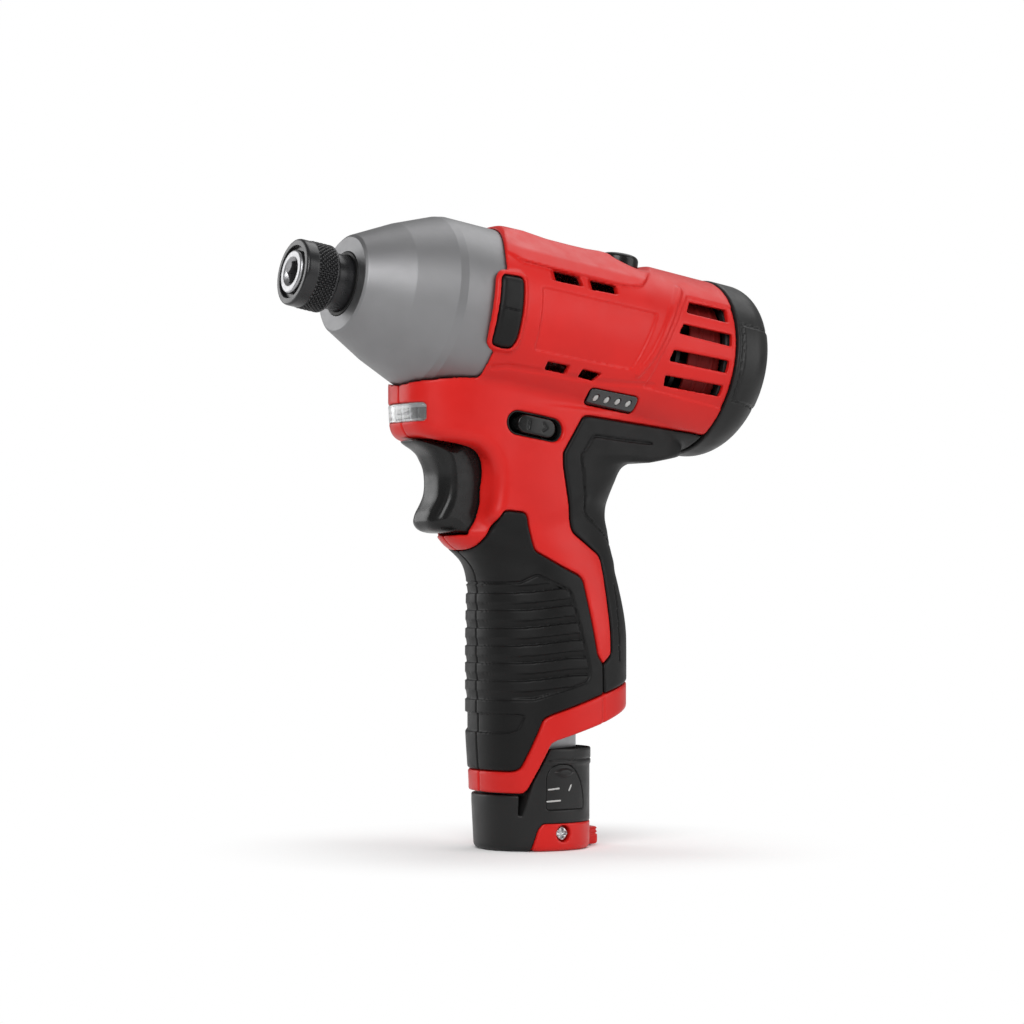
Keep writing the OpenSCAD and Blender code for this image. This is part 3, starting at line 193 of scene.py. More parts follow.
def skin(field, low, high, step):
    """Mesh of a field's zero surface: one point in each cell that it crosses."""
    axes = [np.arange(a, b + step, step, dtype=np.float32) for a, b in zip(low, high)]
    x, y, z = axes[0][:, None, None], axes[1][None, :, None], axes[2][None, None, :]
    shape = tuple(len(a) for a in axes)
    d = np.ascontiguousarray(np.broadcast_to(field(x, y, z), shape), dtype=np.float32)
    full = d < 0
    stride = np.array([shape[1] * shape[2], shape[2], 1])
    rings, points = [], []
    for axis in range(3):
        near = [slice(None)] * 3
        far = [slice(None)] * 3
        near[axis], far[axis] = slice(0, -1), slice(1, None)
        at = np.argwhere(full[tuple(near)] != full[tuple(far)])
        p, q = (axis + 1) % 3, (axis + 2) % 3
        at = at[(at[:, p] > 0) & (at[:, q] > 0)]
        to = at.copy()
        to[:, axis] += 1
        da, db = d[tuple(at.T)], d[tuple(to.T)]
        point = at.astype(np.float64)
        point[:, axis] += da / (da - db)
        cell = at @ stride
        ring = np.stack([cell - stride[p] - stride[q], cell - stride[q], cell, cell - stride[p]], 1)
        ring[da >= 0] = ring[da >= 0][:, ::-1]
        rings.append(ring)
        points.append(np.repeat(point, 4, axis=0))
    ring, point = np.concatenate(rings), np.concatenate(points)
    index = np.unique(ring.ravel(), return_inverse=True)[1]
    count = np.bincount(index)
    verts = np.stack([np.bincount(index, weights=point[:, k]) / count for k in range(3)], 1)
    return verts * step + np.array([a[0] for a in axes]), index.reshape(-1, 4)


def half_box(side, low, high):
    """Box round a left half, or its mirror image for the right half."""
    if side > 0:
        return low, high
    return (low[0], -high[1], low[2]), (high[0], -low[1], high[2])


def lathe(profile, turns=160):
    """Ring about the barrel axis from a closed profile of (s, r)."""
    a = np.linspace(0.0, 2.0 * math.pi, turns, endpoint=False)
    s, r = np.array(profile, float).T
    x, y, z = on_axis(s[:, None], r[:, None] * np.sin(a), r[:, None] * np.cos(a))
    n = len(profile)
    verts = np.stack([x, y, z], 2).reshape(-1, 3)
    i, j = np.meshgrid(np.arange(n), np.arange(turns), indexing="ij")
    k, m = (i + 1) % n, (j + 1) % turns
    faces = np.stack([i * turns + j, k * turns + j, k * turns + m, i * turns + m], 2)
    return verts, faces.reshape(-1, 4)


def rounded(points, radius, steps=3):
    """Closed outline with each corner rounded by up to radius."""
    out = []
    p = [Vector(v) for v in points]
    for i in range(len(p)):
        a, b, c = p[i - 1], p[i], p[(i + 1) % len(p)]
        ra = min(radius, (a - b).length * 0.45)
        rc = min(radius, (c - b).length * 0.45)
        start, end = b + (a - b).normalized() * ra, b + (c - b).normalized() * rc
        for k in range(steps + 1):
            t = k / steps
            out.append(tuple((1 - t) ** 2 * start + 2 * t * (1 - t) * b + t * t * end))
    return out


def held(profile, near=0.12):
    """Profile with points added close to the ends of its straights, which keep their shading flat."""
    out = []
    for a, b in zip(profile, profile[1:] + profile[:1]):
        a, b = Vector(a), Vector(b)
        out.append(tuple(a))
        run = (b - a).length
        if run > 4 * near:
            out += [tuple(a.lerp(b, near / run)), tuple(b.lerp(a, near / run))]
    return out


# Materials

def look(name, colour, rough, metal=0.0, spread=0.08, patch=60.0, grain=1800.0, bump=0.12, depth=0.05,
         rough_spread=0.06, specular=0.5, coat=0.0, clear=0.0):
    """Procedural finish: patchy colour, uneven roughness and a fine moulded or cast grain."""
    m = bpy.data.materials.new(name)
    m.use_nodes = True
    tree = m.node_tree
    shader = tree.nodes["Principled BSDF"]
    where = tree.nodes.new("ShaderNodeTexCoord")

    def noise(scale, detail):
        n = tree.nodes.new("ShaderNodeTexNoise")
        n.inputs["Scale"].default_value = scale
        n.inputs["Detail"].default_value = detail
        tree.links.new(where.outputs["Object"], n.inputs["Vector"])
        return n.outputs["Fac"]

    def ranged(value, low, high):
        n = tree.nodes.new("ShaderNodeMapRange")
        n.inputs["From Min"].default_value = 0.3
        n.inputs["From Max"].default_value = 0.7
        n.inputs["To Min"].default_value = low
        n.inputs["To Max"].default_value = high
        tree.links.new(value, n.inputs["Value"])
        return n.outputs["Result"]

    tint = tree.nodes.new("ShaderNodeMix")
    tint.data_type = "RGBA"
    tint.inputs["A"].default_value = [c * (1 - spread) for c in colour] + [1.0]
    tint.inputs["B"].default_value = [min(1.0, c * (1 + spread)) for c in colour] + [1.0]
    tree.links.new(ranged(noise(patch, 3.0), 0.0, 1.0), tint.inputs["Factor"])
    tree.links.new(tint.outputs["Result"], shader.inputs["Base Color"])
    tree.links.new(ranged(noise(patch * 4, 4.0), rough - rough_spread, rough + rough_spread),
                   shader.inputs["Roughness"])
    relief = tree.nodes.new("ShaderNodeBump")
    relief.inputs["Strength"].default_value = bump
    relief.inputs["Distance"].default_value = depth * MM
    tree.links.new(noise(grain, 2.0), relief.inputs["Height"])
    tree.links.new(relief.outputs["Normal"], shader.inputs["Normal"])
    shader.inputs["Metallic"].default_value = metal
    shader.inputs["Specular IOR Level"].default_value = specular
    shader.inputs["Coat Weight"].default_value = coat
    shader.inputs["Coat Roughness"].default_value = 0.12
    shader.inputs["Transmission Weight"].default_value = clear
    return m


FINISHES = {
    "red_plastic": dict(colour=(0.53, 0.0105, 0.008), rough=0.38, spread=0.05, grain=2600, bump=0.16,
                        specular=0.24),
    # A darker copy of the red plastic: painted shade for the inside of the barrel's slots
    "red_painted_shade": dict(colour=(0.16, 0.005, 0.004), rough=0.6, spread=0.05, grain=2600, specular=0.2),
    "black_plastic": dict(colour=(0.012, 0.012, 0.012), rough=0.4, spread=0.12, grain=2200, bump=0.2,
                          specular=0.25),
    "satin_black": dict(colour=(0.006, 0.006, 0.006), rough=0.26, spread=0.1, grain=2200, bump=0.08,
                        specular=0.28),
    "grip_rubber": dict(colour=(0.006, 0.006, 0.006), rough=0.45, spread=0.15, grain=3000, bump=0.3,
                        specular=0.18),
    "gloss_black": dict(colour=(0.012, 0.012, 0.013), rough=0.2, spread=0.1, bump=0.03, coat=0.3),
    "cast_aluminium": dict(colour=(0.235, 0.235, 0.24), rough=0.5, metal=1.0, spread=0.03, patch=140,
                           grain=2400, bump=0.3, depth=0.06, rough_spread=0.02),
    "black_steel": dict(colour=(0.01, 0.01, 0.011), rough=0.28, metal=0.2, spread=0.15, grain=1500, bump=0.1),
    "steel": dict(colour=(0.55, 0.55, 0.56), rough=0.28, metal=1.0, patch=200, grain=1200, bump=0.08),
    "dull_steel": dict(colour=(0.34, 0.34, 0.35), rough=0.34, metal=1.0, patch=200, grain=1200, bump=0.08),
    "copper": dict(colour=(0.62, 0.26, 0.12), rough=0.35, metal=1.0, spread=0.15, grain=900),
    "contact_brass": dict(colour=(0.65, 0.46, 0.16), rough=0.3, metal=1.0, spread=0.1, grain=900),
    "magnet": dict(colour=(0.06, 0.06, 0.065), rough=0.55, metal=0.3, spread=0.2, grain=700, bump=0.2),
    "clear_lens": dict(colour=(0.9, 0.91, 0.92), rough=0.06, spread=0.02, bump=0.02, clear=0.95),
    "circuit_board": dict(colour=(0.02, 0.16, 0.06), rough=0.45, spread=0.2, grain=600),
    "cell_wrap": dict(colour=(0.02, 0.08, 0.4), rough=0.3, bump=0.05),
    "lamp_tray": dict(colour=(0.34, 0.35, 0.36), rough=0.35, spread=0.05, grain=900),
    "lamp_chip": dict(colour=(0.02, 0.02, 0.019), rough=0.4, spread=0.2, grain=900),
    "gauge_dot": dict(colour=(0.42, 0.42, 0.41), rough=0.4, grain=900),
}
LOOKS = {name: look(name, **finish) for name, finish in FINISHES.items()}


def piece(name, mesh_data, body, finish, *nodes, slot=None):
    """A piece of the object that rides on a body and stands for its CAD nodes."""
    verts, faces = mesh_data
    mesh = bpy.data.meshes.new(name)
    mesh.from_pydata((np.asarray(verts) * MM).tolist(), [], faces.tolist())
    mesh.polygons.foreach_set("use_smooth", np.ones(len(faces), bool))
    mesh.materials.append(LOOKS[finish])
    obj = bpy.data.objects.new(name, mesh)
    bpy.context.scene.collection.objects.link(obj)
    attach(obj, body)
    if nodes:
        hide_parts(*nodes)


def several(name, field, boxes, step, body, finish, *nodes, slot=None):
    """One piece from a field meshed in several small boxes."""
    verts, faces, count = [], [], 0
    for low, high in boxes:
        v, f = skin(field, low, high, step)
        verts.append(v)
        faces.append(f + count)
        count += len(v)
    piece(name, (np.concatenate(verts), np.concatenate(faces)), body, finish, *nodes, slot=slot)


# Outside of the body: handle, chin and barrel together

# Handle: its foot, its rear and half width at foot and neck, and the curve and pad under the barrel
HANDLE_Z = 17.4
FOOT_REAR, NECK_REAR = -29.0, -22.7
FOOT_HALF, NECK_HALF = 20.8, 17.2
TANG_Z, TANG_R = 104.0, 13.0
PAD_Z, PAD_REAR, PAD_HALF = 115.4, -49.2, 15.6

# Front of the handle at each height, smoothed
FRONT_AT = [(0, 19.3), (80, 19.4), (82, 19.9), (84, 21), (86, 22.7), (88.7, 26), (90, 28.2), (91.4, 29.7),
            (92.6, 30.7), (93.6, 31.8), (94.5, 31.4), (95.5, 30.5), (97, 29.3), (99, 28.2), (101, 27.2),
            (104.3, 25.9), (110, 24), (131, 22)]
HEIGHTS = np.arange(-4.0, 135.0, 0.25)
FRONTS = np.convolve(curve(HEIGHTS, FRONT_AT), np.full(9, 1.0 / 9.0), "same")

# Outlines seen from the side, as (x, z)
NECK = rounded([(60, 129.0), (47.4, 129.0), (45.8, 124.8), (43.0, 121.8), (37.8, 120.6), (31.1, 119.8),
                (26.2, 118.6), (23.3, 116.0), (21.6, 112.0), (21.5, 107.5), (22.2, 102.6), (23.2, 99.8),
                (22.8, 97.4), (20, 96.0), (4, 96.5), (-8, 103.0), (-14, 121), (-30, 121), (-30, 150),
                (60, 150)], 3.0, 4)
FRONT_GRIP = rounded([(45, 23.9), (14.2, 23.7), (12.6, 24.6), (7.2, 39.2), (4.9, 40.4), (-12.7, 46.2),
                      (-12.6, 55.0), (-10.5, 57.9), (-6.4, 80.0), (-5.0, 81.4), (0.2, 83.8), (9.0, 88.6),
                      (10.1, 91.7), (11.8, 98.6), (12.8, 99.8), (18.8, 100.3), (19.8, 99.6), (21.5, 95.7),
                      (24.3, 90.0), (25.2, 88.6), (45, 88.2)], 0.9)
PALM_GRIP = rounded([(-12.7, 46.2), (-26.0, 49.7), (-60, 53), (-60, 122.6), (-46.9, 124.8), (-27.8, 126.8),
                     (-9.2, 128.6), (-7.2, 128.4), (-0.2, 117.4), (-0.3, 113.5), (-3.4, 95.6), (-4.2, 94.0),
                     (-14.0, 87.4), (-14.6, 85.6), (-16.0, 64.6), (-16.0, 57.9), (-12.6, 55.0)], 0.9)
UNDER_COLLAR = [(60, 17.3), (12.0, 17.3), (10.9, 18.4), (9.9, 20.6), (4.9, 31.8), (3.2, 32.8), (-12.5, 37.5),
                (-26.0, 42.0), (-60, 51), (-60, -20), (60, -20)]
RIB_PANEL = rounded([(45, 79.1), (13.2, 79.1), (8.3, 81.6), (-1.5, 76.8), (-4.1, 66.4), (-7.2, 54.6),
                     (-7.4, 51.6), (-6.2, 49.8), (1.8, 47.4), (10.0, 44.9), (45, 44.7)], 0.8)
LOWER_PAD = rounded([(45, 40.6), (13.2, 40.6), (12.0, 40.1), (13.4, 36.4), (14.4, 35.5), (16.4, 34.9),
                     (45, 34.8)], 0.4)
PALM_LINE = [(-33.0, 121.0), (-20.5, 121.9), (-11.4, 122.8), (-10.2, 122.0), (-6.6, 117.0), (-6.5, 115.4),
             (-8.6, 100.6), (-9.4, 99.2), (-18.4, 93.4), (-24.0, 90.0)]
DASHES = [(56.2, 60.2), (61.1, 66.0), (66.9, 71.0), (72.2, 78.4)]

# Openings and what fills them
TRIGGER_W = 16.8
LEDGE_Z = 93.2
CHIN_X, CHIN_Z = 45.6, 121.5
LENS_Z0, LENS_Z1, LENS_HALF = 126.2, 131.4, 10.7
SLIDER_X, SLIDER_Z = 9.6, 125.1
SLIDER_SLOT, SLIDER_KNOB, SLIDER_FLAP = (18.9, 7.1), (12.8, 5.3), (24.6, 8.6)
BEZEL_OUT, BEZEL_IN = (18.8, 7.0), (18.1, 6.3)
BUTTON_S, BUTTON_R = 108.6, 6.0
STEM_POINTS = [(-6.4, 0.0), (5.463, -6.85), (5.463, 6.85)]
STEM_BORE_R = 8.05
SCREWS = [(30, 128.6), (-16, 122.6), (-18.6, 88.5), (14.5, 86.5), (-22, 56)]

# Gear case and top ring as (s, r), top edge as (s, h), and the two facets beside it as slopes and reach
CASE_OUTSIDE = [(S_NOSE, 13.8), (S_NOSE + 0.7, 14.6), (S_NOSE + 13.2, 20.8), (S_NOSE + 25.0, 25.4),
                (S_NOSE + 27.4, CASE_R), (S_CASE_END, CASE_R)]
TOP = [(56, 26.9), (60, 26.9), (63, 26.8), (65, 26.5), (68, 26.4), (71.5, 26.0), (74, 25.7), (76, 25.5),
       (84, 25.5), (90, 25.7), (95, 26.3), (100, 26.3), (104, 26.6), (112, 27.0)]
RING = [(56, 26.9), (63, 27.9), (68, 28.4), (72, 28.3), (104, 28.3), (112, 27.9), (117, 26.9)]
FACETS = [(0.602, 0.799, 27.3), (0.783, 0.622, 27.6)]

# Outlines on the flanks of the barrel, as (s, h)
RED_FRONT = 56.7
PLINTH = rounded([(55.5, 17.2), (61.7, 14.7), (72.6, 14.6), (95.7, 15.0), (100.1, 15.4), (104.7, 16.5),
                  (109.2, 21.2), (117.0, 27.6), (117.0, 40), (55.5, 40)], 0.6)
CHEEK = rounded([(52.6, 7.6), (54.1, 10.2), (60.8, 11.4), (63.1, 9.8), (63.6, 0.0), (63.6, -10.8),
                 (62.0, -13.0), (56.0, -13.3), (53.5, -11.7), (52.8, -7.0), (52.5, 0.0)], 1.2)
BUMPER = rounded([(54.2, 7.6), (55.2, 8.9), (61.0, 9.3), (62.0, 8.2), (62.3, -1.8), (62.4, -8.8),
                  (61.4, -11.5), (58.4, -12.0), (55.3, -11.7), (54.5, -10.4), (54.2, -2.6)], 0.9)
LABEL = rounded([(68.6, 8.1), (109.1, 8.7), (103.0, -9.5), (69.1, -10.4)], 1.0)
CREST = [(119.0, 18.6), (115.4, 12.4), (112.0, 4.6), (108.8, -4.0), (105.5, -10.3)]
SLOT_PANEL = rounded([(121.5, 17.0), (145, 17.2), (145, -14.5), (109.0, -13.5), (111.6, -4.0), (114.8, 4.6),
                      (118.2, 12.0)], 0.8)
GAUGE = rounded([(92.4, -16.7), (109.3, -16.3), (110.2, -21.0), (93.1, -21.3)], 1.4)
GAUGE_DOTS = [(95.7, -19.1), (99.5, -19.0), (103.2, -18.8), (106.9, -18.7)]
VENTS = [[(73.8, 14.2), (82.2, 14.2), (83.2, 11.4), (74.6, 11.0)],
         [(86.6, 14.2), (95.2, 14.3), (95.4, 11.6), (87.4, 11.2)],
         [(74.9, -12.4), (82.6, -12.2), (82.4, -14.7), (75.0, -14.8)],
         [(87.0, -12.3), (93.8, -12.3), (92.2, -14.8), (86.6, -14.7)]]
VENT_RAMPS = [71.6, 84.4]
SLOTS = [[(122.2, 15.3), (136.0, 15.8), (135.6, 11.6), (120.3, 11.5)],
         [(118.9, 7.7), (136.7, 8.1), (136.5, 4.3), (117.2, 4.4)],
         [(116.0, -0.8), (136.3, -0.1), (136.1, -3.9), (115.0, -4.4)],
         [(115.0, -8.6), (136.1, -7.7), (136.0, -11.0), (115.8, -11.7)]]
LOWER_CREASE = [(58.6, -17.4), (62.6, -16.3), (75.7, -15.5), (94.0, -14.8), (112.0, -12.4)]


def taper(z):
    return 1.0 - ease((z - HANDLE_Z) / 20.0)


def handle(x, y, z):
    up = np.clip(z - TANG_Z, 0.0, TANG_R - 0.05)
    tang = TANG_R - np.sqrt(TANG_R ** 2 - up ** 2)
    front = np.interp(z, HEIGHTS, FRONTS) - 0.9 * taper(z)
    rear = mix(FOOT_REAR, NECK_REAR, ease((z - 62.0) / 38.0)) - tang
    rear = rear - 1.3 * window(z, 84.0, 96.5, 5.0) - 0.6 * window(z, 96.5, 112.0, 5.0)
    half = mix(FOOT_HALF, NECK_HALF, ease((z - 58.0) / 42.0)) - 0.7 * taper(z)
    power = 2.3 - 0.25 * window(z, 84.0, 103.0, 6.0) + 0.7 * ease((z - 102.0) / 8.0)
    under = PAD_Z + 0.17 * np.maximum(-33.0 - x, 0.0)
    pad = meet(oval(x, y, 0.0, PAD_REAR, PAD_HALF, 3.0), under - z, 1.5)
    return meet(join(oval(x, y, front, rear, half, power), pad, 2.0), z - 130.0, 1.0)


def chin(x, y, z):
    """Chin, and the flush flanks beside the trigger."""
    plan = oval(x, y, CHIN_X, -25.0, NECK_HALF, 3.2) + 1.5 * ease((101.0 - z) / 9.0)
    return meet(meet(plan, inside(x, z, NECK), 4.2), z - 150.0, 1.0)


def case_radius(s):
    return curve(s, CASE_OUTSIDE).astype(np.float32)


def side_relief(x, z):
    """Raised and sunk areas on the flanks, seen from the side: positive is sunk."""
    s, h = back(x, z), rise(x, z)
    d = 0.55 * ease(0.5 - inside(s, h, LABEL) / 0.45)
    d = d - 0.6 * ease(1.5 - along(s, h, CREST) / 1.0)
    d = d + 0.4 * ease(0.5 - inside(s, h, SLOT_PANEL) / 0.5)
    return d + 0.3 * ease(1.5 - along(s, h, LOWER_CREASE) / 0.7)


def barrel(x, y, z):
    s, h = back(x, z), rise(x, z)
    r = length(y, h)
    y2 = np.abs(y)
    plinth = r - curve(s, RING)
    for across, up, reach in FACETS:
        plinth = meet(plinth, y2 * across + h * up - reach, 0.2)
    plinth = meet(plinth, inside(s, h, PLINTH), 0.4)
    d = join(r - BARREL_R + side_relief(x, z), plinth, 0.4)
    d = meet(d, h - curve(s, TOP), 0.8)
    from_button = length(s - BUTTON_S, 0.75 * y)
    dish = 25.2 + 0.4 * np.maximum(from_button - 6.6, 0.0) + 1.2 * ease((s - 110.0) / 6.0)
    d = cut(d, most([dish - r, from_button - 13.0, 12.0 - h]), 0.6)
    front = RED_FRONT + 4.7 * np.clip((h - 12.0) / 15.0, 0.0, 1.0) ** 2
    d = meet(meet(d, front - s, 0.8), s - S_REAR + 0.05, 0.5)
    cheek = meet(inside(s, h, CHEEK), r - 27.75, 1.3)
    return join(d, np.maximum(cheek, 15.0 - y2), 0.5)


def body(x, y, z):
    return join(join(handle(x, y, z), chin(x, y, z), 3.0), barrel(x, y, z), 1.6)


def opening(x, y, z):
    """Space of the trigger in the neck."""
    d = meet(np.abs(y) - TRIGGER_W / 2 - 0.4, LEDGE_Z - z, 1.0)
    return meet(meet(d, z - CHIN_Z + 0.4, 3.0), 1.0 - x, 0.5)


def stem(x, y, r):
    return inside(x, y, STEM_POINTS) - r


def screw_bores(x, y, z):
    return np.maximum(least([length(x - sx, z - sz) - 3.2 for sx, sz in SCREWS]), y + 9.0)


def grip_gap(x, z):
    return np.minimum(inside(x, z, FRONT_GRIP), inside(x, z, PALM_GRIP))


def on_slider(x, z):
    """Place along and across the direction slider."""
    return ((x - SLIDER_X) * COS + (z - SLIDER_Z) * SIN, (z - SLIDER_Z) * COS - (x - SLIDER_X) * SIN)


def slider_plan(x, z, size):
    """Outline about the direction slider, of a length and a width."""
    u, v = on_slider(x, z)
    return pill(u + 0.3, v, *size)


def lens_window(y, z, gap):
    return meet(meet(np.abs(y) - LENS_HALF - gap, z - LENS_Z1 - gap, 1.2), LENS_Z0 - gap - z, 1.2)


def housing(side):
    def field(x, y, z):
        s, h = back(x, z), rise(x, z)
        r = length(y, h)
        y2 = np.abs(y)
        whole = body(x, y, z)
        seam = np.maximum(np.abs(x + 12.7) - 0.3, np.maximum(36.0 - z, z - 47.5))
        d = cut(whole, np.maximum(seam, -(whole + 0.35)), 0.2)
        d = cut(d, inside(x, z, UNDER_COLLAR), 0.7)
        d = cut(d, meet(grip_gap(x, z) - 0.2, -(whole + GRIP_T + 0.15), 0.3), 0.6)
        case = np.maximum(r - case_radius(s) - 0.08 - 0.5 * ease((-18.0 - h) / 4.0), s - S_CASE_END - 0.2)
        d = cut(d, case, 0.4)
        bore = np.maximum(np.maximum(r - BORE_R, 50.0 - s), s - 140.0)
        hollow = np.maximum(handle(x, y, z) + WALL + GRIP_T, 79.0 - z)
        hollow = np.minimum(hollow, chin(x, y, z) + WALL)
        d = np.maximum(d, -np.minimum(bore, hollow))
        d = np.maximum(d, -np.maximum(stem(x, y, STEM_BORE_R), z - 81.0))
        d = cut(d, opening(x, y, z), 0.9)
        d = cut(d, np.maximum(lens_window(y, z, 0.12), 34.0 - x), 0.4)
        d = cut(d, np.maximum(slider_plan(x, z, SLIDER_SLOT), 12.0 - y2), 0.6)
        d = cut(d, np.maximum(length(s - BUTTON_S, y) - BUTTON_R - 0.4, 18.0 - h), 0.4)
        d = cut(d, np.maximum(inside(s, h, BUMPER) - 0.15, np.maximum(25.98 - r, 10.0 - y2)), 0.5)
        if side > 0:
            d = cut(d, np.maximum(inside(s, h, GAUGE) - 0.15, np.maximum(25.0 - r, -y)), 0.4)
        else:
            d = cut(d, screw_bores(x, y, z), 0.5)
        for outline in VENTS + SLOTS:
            d = cut(d, np.maximum(inside(s, h, rounded(outline, 0.5)), 12.0 - y2), 0.3)
        for start in VENT_RAMPS:
            ramp = most([start - s, s - start - 3.0, 11.0 - h, h - 14.2, BARREL_R - 0.6 * (s - start) - r])
            d = cut(d, np.maximum(ramp, 12.0 - y2), 0.2)
        return meet(d, SEAM - side * y, 0.6)
    return skin(field, *half_box(side, (-62.0, -0.6, 15.5), (47.5, 29.0, 186.0)), 0.42)


for side, word in SIDES:
    piece(word + "_housing", housing(side), "housing", "red_plastic", word + "_housing")


# Grips

RIB_PITCH, RIB_LOW, GROOVE = 5.18, 45.0, 2.2


def front_grip(side):
    def field(x, y, z):
        whole = body(x, y, z)
        face = whole - 0.1
        d = meet(face, inside(x, z, FRONT_GRIP) + 0.15, 0.8)
        panel = inside(x, z, RIB_PANEL)
        up = (z - RIB_LOW - 1.6 * ease((15.0 - x) / 19.0)) % RIB_PITCH
        band = np.where(up < GROOVE, -np.minimum(up, GROOVE - up), np.minimum(up - GROOVE, RIB_PITCH - up))
        deep = (1.15 - 0.32 * np.minimum(up, GROOVE)) * mix(1.0, 0.5, ease((x - 11.0) / 6.0))
        d = grooved(d, face, np.maximum(band, panel + 0.35), deep)
        d = grooved(d, face, np.maximum(np.abs(panel) - 0.32, np.abs(z - 62.0) - 40.0), 0.55)
        d = grooved(d, face, inside(x, z, LOWER_PAD), 0.7)
        d = np.maximum(d, -(whole + GRIP_T))
        d = np.maximum(d, -inside(x, z, UNDER_COLLAR))
        d = np.maximum(d, -(opening(x, y, z) - 0.2))
        d = np.maximum(d, -stem(x, y, STEM_BORE_R))
        if side < 0:
            d = cut(d, screw_bores(x, y, z), 0.4)
        return meet(d, SEAM - side * y, 0.6)
    return skin(field, *half_box(side, (-14.0, -0.5, 22.0), (31.0, 22.5, 101.4)), 0.33)


def palm_grip(side):
    def field(x, y, z):
        whole = body(x, y, z)
        face = whole - 0.1
        zone = np.maximum(inside(x, z, PALM_GRIP) + 0.15, back(x, z) - S_REAR + 0.4)
        d = meet(face, zone, 0.8)
        d = grooved(d, face, along(x, z, PALM_LINE) - 0.32, 0.55)
        d = grooved(d, face, least([along(x, z, [(-19.9, a), (-19.6, b)]) for a, b in DASHES]) - 0.34, 0.5)
        d = np.maximum(d, -(whole + GRIP_T))
        if side < 0:
            d = cut(d, screw_bores(x, y, z), 0.4)
        return meet(d, SEAM - side * y, 0.6)
    return skin(field, *half_box(side, (-55.0, -0.5, 45.0), (1.5, 27.5, 130.5)), 0.38)


for side, word in SIDES:
    piece(word + "_grip", front_grip(side), "housing", "grip_rubber", word + "_grip")
    piece(word + "_palm_grip", palm_grip(side), "housing", "grip_rubber", word + "_palm_grip")


# Barrel trim

BUMPER_R = 27.95
BAFFLE_R, BAFFLE_PITCH = 22.4, 4.5
GAUGE_LOW, GAUGE_HIGH = (-34.0, 15.0, 128.0), (-8.0, 22.5, 142.0)


def bumper(side):
    def field(x, y, z):
        s, h = back(x, z), rise(x, z)
        r = length(y, h)
        d = meet(inside(s, h, BUMPER) + 0.05, r - BUMPER_R, 1.8)
        d = grooved(d, r - BUMPER_R, np.abs(h + 0.9) - 0.2, 0.35)
        return np.maximum(np.maximum(d, 26.05 - r), 10.0 - side * y)
    return skin(field, *half_box(side, (15.0, 12.0, 142.0), (31.0, 29.0, 171.0)), 0.27)


def dots(s, h):
    return least([length((s - a) * 1.15, h - b) for a, b in GAUGE_DOTS])


def gauge(x, y, z):
    s, h = back(x, z), rise(x, z)
    r = length(y, h)
    d = meet(inside(s, h, GAUGE) + 0.1, r - 27.0, 0.5)
    d = cut(d, np.maximum(dots(s, h) - 1.0, 26.7 - r), 0.15)
    return np.maximum(np.maximum(d, 25.1 - r), 8.0 - y)


def gauge_dots(x, y, z):
    s, h = back(x, z), rise(x, z)
    r = length(y, h)
    return np.maximum(np.maximum(meet(dots(s, h) - 0.9, r - 26.95, 0.3), 26.2 - r), 8.0 - y)


for side, word in SIDES:
    piece(word + "_bumper", bumper(side), "housing", "grip_rubber", word + "_bumper")
piece("gauge_panel", skin(gauge, GAUGE_LOW, GAUGE_HIGH, 0.2), "housing", "gloss_black", "gauge_panel")
piece("gauge_dots", skin(gauge_dots, GAUGE_LOW, GAUGE_HIGH, 0.2), "housing", "gauge_dot", slot="clear_lens")


def vent_baffle(side):
    def field(x, y, z):
        s, h = back(x, z), rise(x, z)
        r = length(y, h)
        ribs = 0.5 * ease(1.5 - np.abs((s - 121.0) % BAFFLE_PITCH - BAFFLE_PITCH / 2) / 0.5)
        d = np.maximum(r - BAFFLE_R - ribs, BAFFLE_R - 1.0 - r)
        return most([d, 124.0 - s, s - 135.2, np.abs(h - 1.0) - 18.0, -side * y])
    y0, y1 = (12.0, 24.5) if side > 0 else (-27.5, -15.0)
    return skin(field, (-60.0, y0, 130.0), (-37.0, y1, 174.0), 0.35)


# The baffle is red plastic like the housing; its darker red is painted shade for the inside of the slots
for side, word in SIDES:
    piece(word + "_vent_baffle", vent_baffle(side), "housing", "red_painted_shade", slot="red_plastic")


CAP_SCREW_Y = 15.5


def capped(r, s, edge, end, bend):
    """Closed cylinder end with a rounded edge."""
    qr, qs = r - edge + bend, s - end + bend
    return np.minimum(np.maximum(qr, qs), 0.0) + length(np.maximum(qr, 0.0), np.maximum(qs, 0.0)) - bend


def rear_cap(x, y, z):
    s, h = back(x, z), rise(x, z)
    r = length(y, h)
    low = np.clip((27.0 - h) / 54.0, 0.0, 1.0)
    bend = mix(8.0, 11.5, low)
    end = S_END - 0.3 - 1.0 * low ** 1.5
    middle = np.maximum(np.abs(h - 0.1) - 11.7, S_REAR + 2.0 - s)
    outer = capped(r, s, CAP_R - 0.35 + 0.35 * ease(0.5 - middle / 0.4), end, bend)
    d = meet(outer, S_REAR + 0.2 - s, 0.6)
    d = grooved(d, outer, np.abs(middle) - 0.3, 0.5)
    lip = np.maximum(np.maximum(r - BORE_R - 0.1, s - S_REAR - 2.0), S_REAR - 2.8 - s)
    d = np.minimum(d, lip)
    inner = capped(r, s, 24.6, end - 2.4, bend - 2.4)
    inner = np.maximum(inner, np.where(s < S_REAR + 1.0, r - 22.5, inner))
    d = np.maximum(d, -inner)
    seat = length(np.abs(y) - CAP_SCREW_Y, h)
    bore = np.minimum(np.maximum(seat - 3.0, S_END - 3.5 - s), seat - 1.8)
    return cut(d, bore, 0.3)


piece("rear_cap", skin(rear_cap, (-80.0, -28.5, 114.0), (-45.5, 28.5, 179.0), 0.42), "housing",
      "black_plastic", "rear_cap")


# Nose

